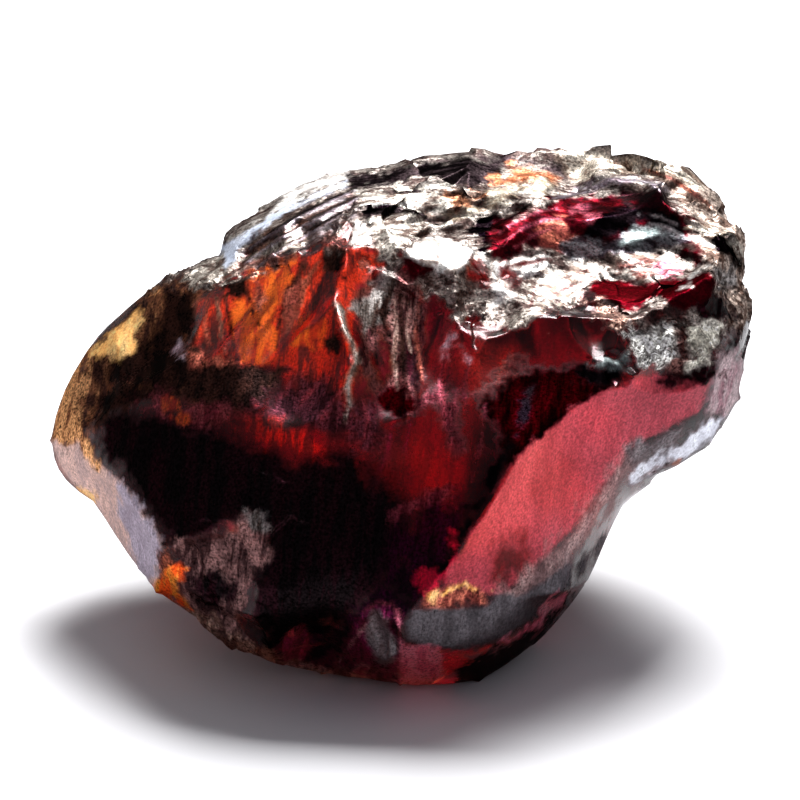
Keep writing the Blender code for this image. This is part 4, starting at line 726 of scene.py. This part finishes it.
def carve(mesh):
    points = np.empty(len(mesh.vertices) * 3)
    mesh.vertices.foreach_get("co", points)
    points = points.reshape(-1, 3)
    normals = np.array([v.vector for v in mesh.vertex_normals])
    across, up, out = frontMeasures(points)
    inMm = points / mm
    noise.seed_set(garnetStone["wobbleSeed"])
    broad, fine = garnetStone["wobbleCells"]
    wobble = clouds(inMm, broad) + clouds(inMm, fine) * 0.7
    facing = rise(out + 0.2 * up, -garnetStone["backStart"], garnetStone["backFade"])
    laid, cover, lay = layPatches(across, up, facing, wobble)
    print("  laid", len(patches), "patches")

    grain = splinterGrain(across, up, out, cover["topSkin"])
    height = roughen(cover, across, up, inMm, grain)
    height += finelyLined(cover, lay, across, up, wobble)
    for name in garnetStone["raised"]:
        height += garnetStone["plateRise"] * cover[name]
    points += normals * height[:, None] * mm
    low, high = (np.array(c) for c in cadBounds)
    mesh.vertices.foreach_set("co", np.clip(points, low, high).ravel())
    layBack(lay, 1 - facing, across, up, inMm, wobble)

    for name, columns in (("colour", laid[:, 0:3]), ("streakColour", laid[:, 3:6]), ("grain", grain)):
        layer = mesh.attributes.new(name, "FLOAT_VECTOR", "POINT")
        layer.data.foreach_set("vector", columns.astype(np.float32).ravel())
    for name, column in (("silver", 6), ("dull", 7), ("speck", 8)):
        layer = mesh.attributes.new(name, "FLOAT", "POINT")
        layer.data.foreach_set("value", laid[:, column].astype(np.float32))
    mesh.update()
    print("  carved", len(points), "points")


def buildStone(node):
    bm = bmesh.new()
    bm.from_mesh(node.data)
    bmesh.ops.remove_doubles(bm, verts=bm.verts, dist=1e-6)
    ridge = bm.edges.layers.int.new("ridge")
    for e in bm.edges:
        if len(e.link_faces) == 2 and e.calc_face_angle(0) > math.radians(garnetStone["ridgeAngle"]):
            e[ridge] = 1
    refine(bm)
    held = {v for e in bm.edges if e[ridge] for v in e.verts}
    held |= {v for v in bm.verts if v.co.z < 0.02 * mm}
    free = [v for v in bm.verts if v not in held]
    for _ in range(garnetStone["settling"]):
        bmesh.ops.smooth_vert(bm, verts=free, factor=0.5, use_axis_x=True, use_axis_y=True, use_axis_z=True)
    mesh = bpy.data.meshes.new("garnetStone")
    bm.to_mesh(mesh)
    bm.free()
    carve(mesh)
    stone = bpy.data.objects.new("garnetStone", mesh)
    bpy.context.scene.collection.objects.link(stone)
    mesh.shade_smooth()
    mesh.set_sharp_from_angle(angle=math.radians(garnetStone["shadeAngle"]))
    return stone


clearGarnet = {
    "bend": 1.77,                       # index of refraction
    "glint": (0.25, 0.25, 0.25, 1.0),   # its clear faces mirror less than glass does
    "dye": (0.94, 0.76, 0.66, 1.0),     # what the clear stone lets through
    "dyeDensity": 480,                  # per metre
    "gloss": 0.05,
    "streaks": 2.8, "streakEdge": (0.46, 0.56),  # per mm, and where a streak's edge lies
    "specks": 13.0, "speckDepth": 0.9,           # per mm, and how much they lighten or darken
    "crackAt": 0.42, "crackWidth": 0.012,        # where the streaks leave a thin dark line
    "crackDepth": 0.6,
    "dullSwing": (0.7, 1.3),            # how much the streaks change the dullness
    "pitStrength": 0.8, "pitDepth": 0.02,        # mm, the tiny pits of the dull parts
}


def garnetMaterial():
    material = bpy.data.materials.new("clearGarnet")
    material.use_nodes = True
    tree = material.node_tree
    link = tree.links.new
    shine = tree.nodes["Principled BSDF"]
    shine.inputs["Transmission Weight"].default_value = 1.0
    shine.inputs["IOR"].default_value = clearGarnet["bend"]
    shine.inputs["Specular Tint"].default_value = clearGarnet["glint"]

    def laid(name, output="Fac"):
        reader = tree.nodes.new("ShaderNodeAttribute")
        reader.attribute_name = name
        return reader.outputs[output]

    def grains(source, scale, detail, roughness):
        grain = tree.nodes.new("ShaderNodeTexNoise")
        grain.inputs["Scale"].default_value = scale
        grain.inputs["Detail"].default_value = detail
        grain.inputs["Roughness"].default_value = roughness
        link(source, grain.inputs["Vector"])
        return grain.outputs["Fac"]

    def ramp(source, low, high, bottom=0.0, top=1.0):
        scaled = tree.nodes.new("ShaderNodeMapRange")
        for name, value in (("From Min", low), ("From Max", high), ("To Min", bottom), ("To Max", top)):
            scaled.inputs[name].default_value = value
        link(source, scaled.inputs["Value"])
        return scaled.outputs["Result"]

    def combine(kind, *values):
        node = tree.nodes.new("ShaderNodeMath")
        node.operation = kind
        for socket, value in zip(node.inputs, values):
            if isinstance(value, (int, float)):
                socket.default_value = value
            else:
                link(value, socket)
        return node.outputs[0]

    place = tree.nodes.new("ShaderNodeTexCoord")
    streaky = grains(laid("grain", "Vector"), clearGarnet["streaks"], 4.0, 0.65)
    speckled = grains(place.outputs["Object"], clearGarnet["specks"] / mm, 1.5, 0.6)
    blend = tree.nodes.new("ShaderNodeMix")
    blend.data_type = "VECTOR"
    link(ramp(streaky, *clearGarnet["streakEdge"]), blend.inputs["Factor"])
    link(laid("colour", "Vector"), blend.inputs[4])        # the two vectors that are mixed
    link(laid("streakColour", "Vector"), blend.inputs[5])

    # the mixed colour is lightened and darkened by specks and by thin dark cracks
    swing, cut = clearGarnet["speckDepth"], clearGarnet["crackDepth"]
    depth = combine("MULTIPLY", laid("speck"), ramp(speckled, 0.3, 0.7, -swing, swing))
    offMiddle = combine("ABSOLUTE", combine("SUBTRACT", streaky, clearGarnet["crackAt"]))
    cracks = combine("MULTIPLY", laid("silver"), ramp(offMiddle, 0.0, clearGarnet["crackWidth"], -cut, 0.0))
    lighter = tree.nodes.new("ShaderNodeVectorMath")
    lighter.operation = "SCALE"
    link(blend.outputs[1], lighter.inputs[0])
    lightness = combine("ADD", combine("ADD", 1.0, depth), cracks)
    link(combine("MAXIMUM", lightness, 0.0), lighter.inputs["Scale"])
    capped = tree.nodes.new("ShaderNodeVectorMath")
    capped.operation = "MINIMUM"
    capped.inputs[1].default_value = (1.0, 1.0, 1.0)
    link(lighter.outputs["Vector"], capped.inputs[0])
    link(capped.outputs["Vector"], shine.inputs["Base Color"])
    link(laid("silver"), shine.inputs["Metallic"])
    dull = combine("MULTIPLY", laid("dull"), ramp(streaky, 0.3, 0.7, *clearGarnet["dullSwing"]))
    link(combine("ADD", clearGarnet["gloss"], dull), shine.inputs["Roughness"])

    pits = tree.nodes.new("ShaderNodeBump")
    pits.inputs["Strength"].default_value = clearGarnet["pitStrength"]
    pits.inputs["Distance"].default_value = clearGarnet["pitDepth"] * mm
    link(combine("MULTIPLY", laid("dull"), speckled), pits.inputs["Height"])
    link(pits.outputs["Normal"], shine.inputs["Normal"])

    dye = tree.nodes.new("ShaderNodeVolumeAbsorption")
    dye.inputs["Color"].default_value = clearGarnet["dye"]
    dye.inputs["Density"].default_value = clearGarnet["dyeDensity"]
    link(dye.outputs["Volume"], tree.nodes["Material Output"].inputs["Volume"])
    return material


studio = {
    "floorColour": (0.60, 0.60, 0.615, 1),
    "floorDullness": 0.9,
    "floorSize": 0.8,
    "lampPower": 0.90,
    "lampSize": 0.09,
    "lampFrom": Vector((0.13, 0.48, 0.87)),
    "lampAway": 0.2,
    "lampAim": Vector((0, 0, 0.005)),
    "roomLight": 0.40,
    "roomFront": (0.70, 0.67, 0.74, 1),
    "roomBack": (1.0, 1.0, 1.0, 1),
    "brightSide": (-0.15, 0.85, 0.50),  # the bright side of the room is behind and above
    "brightFrom": 0.50, "brightFull": 0.95,
}


def buildFloor():
    floorMesh = bpy.data.meshes.new("paleFloor")
    h = studio["floorSize"] / 2
    floorMesh.from_pydata([(-h, -h, 0), (h, -h, 0), (h, h, 0), (-h, h, 0)], [], [(0, 1, 2, 3)])
    floor = bpy.data.objects.new("paleFloor", floorMesh)
    bpy.context.scene.collection.objects.link(floor)
    card = bpy.data.materials.new("paleCard")
    card.use_nodes = True
    shade = card.node_tree.nodes["Principled BSDF"]
    shade.inputs["Base Color"].default_value = studio["floorColour"]
    shade.inputs["Roughness"].default_value = studio["floorDullness"]
    floorMesh.materials.append(card)


def lightRoom():
    world = bpy.data.worlds.new("softRoom")
    bpy.context.scene.world = world
    world.use_nodes = True
    tree = world.node_tree
    sky = tree.nodes["Background"]
    direction = tree.nodes.new("ShaderNodeTexCoord")
    towards = tree.nodes.new("ShaderNodeVectorMath")
    towards.operation = "DOT_PRODUCT"
    towards.inputs[1].default_value = studio["brightSide"]
    tree.links.new(direction.outputs["Generated"], towards.inputs[0])
    room = tree.nodes.new("ShaderNodeValToRGB")
    room.color_ramp.elements[0].position = studio["brightFrom"]
    room.color_ramp.elements[0].color = studio["roomFront"]
    room.color_ramp.elements[1].position = studio["brightFull"]
    room.color_ramp.elements[1].color = studio["roomBack"]
    share = tree.nodes.new("ShaderNodeMapRange")
    share.inputs["From Min"].default_value = -1
    tree.links.new(towards.outputs["Value"], share.inputs["Value"])
    tree.links.new(share.outputs["Result"], room.inputs["Fac"])
    tree.links.new(room.outputs["Color"], sky.inputs["Color"])
    sky.inputs["Strength"].default_value = studio["roomLight"]


def hangLamp():
    lamp = bpy.data.lights.new("softBox", "AREA")
    lamp.size = studio["lampSize"]
    lamp.energy = studio["lampPower"]
    softBox = bpy.data.objects.new("softBox", lamp)
    bpy.context.scene.collection.objects.link(softBox)
    softBox.visible_transmission = False  # it isn't seen through the stone
    softBox.location = studio["lampFrom"].normalized() * studio["lampAway"]
    softBox.rotation_euler = (studio["lampAim"] - softBox.location).to_track_quat("-Z", "Y").to_euler()


cameraPlace = {
    "lookAt": frontMiddle + Vector((0, math.sin(frontLean), math.cos(frontLean))) * 0.56 * mm,
    "distance": 0.25,
    "elevation": math.radians(25),
    "viewWidth": 0.0224,
    "sensorWidth": 36,
}


def placeCamera():
    away = Vector((0, -math.cos(cameraPlace["elevation"]), math.sin(cameraPlace["elevation"])))
    lens = bpy.data.cameras.new("longLens")
    lens.sensor_width = cameraPlace["sensorWidth"]
    lens.lens = cameraPlace["sensorWidth"] * cameraPlace["distance"] / cameraPlace["viewWidth"]
    lens.clip_start = 0.01
    camera = bpy.data.objects.new("longLens", lens)
    bpy.context.scene.collection.objects.link(camera)
    camera.location = cameraPlace["lookAt"] + away * cameraPlace["distance"]
    camera.rotation_euler = (-away).to_track_quat("-Z", "Y").to_euler()
    bpy.context.scene.camera = camera


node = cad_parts["garnet_crystal"]
print("building the stone")
stone = buildStone(node)
print("mixing the garnet")
stone.data.materials.append(garnetMaterial())
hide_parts("garnet_crystal")
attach(stone, "root")
print("setting up the studio")
buildFloor()
lightRoom()
hangLamp()
placeCamera()
bpy.context.scene.view_settings.view_transform = "Standard"
bpy.context.scene.view_settings.look = "Medium High Contrast"
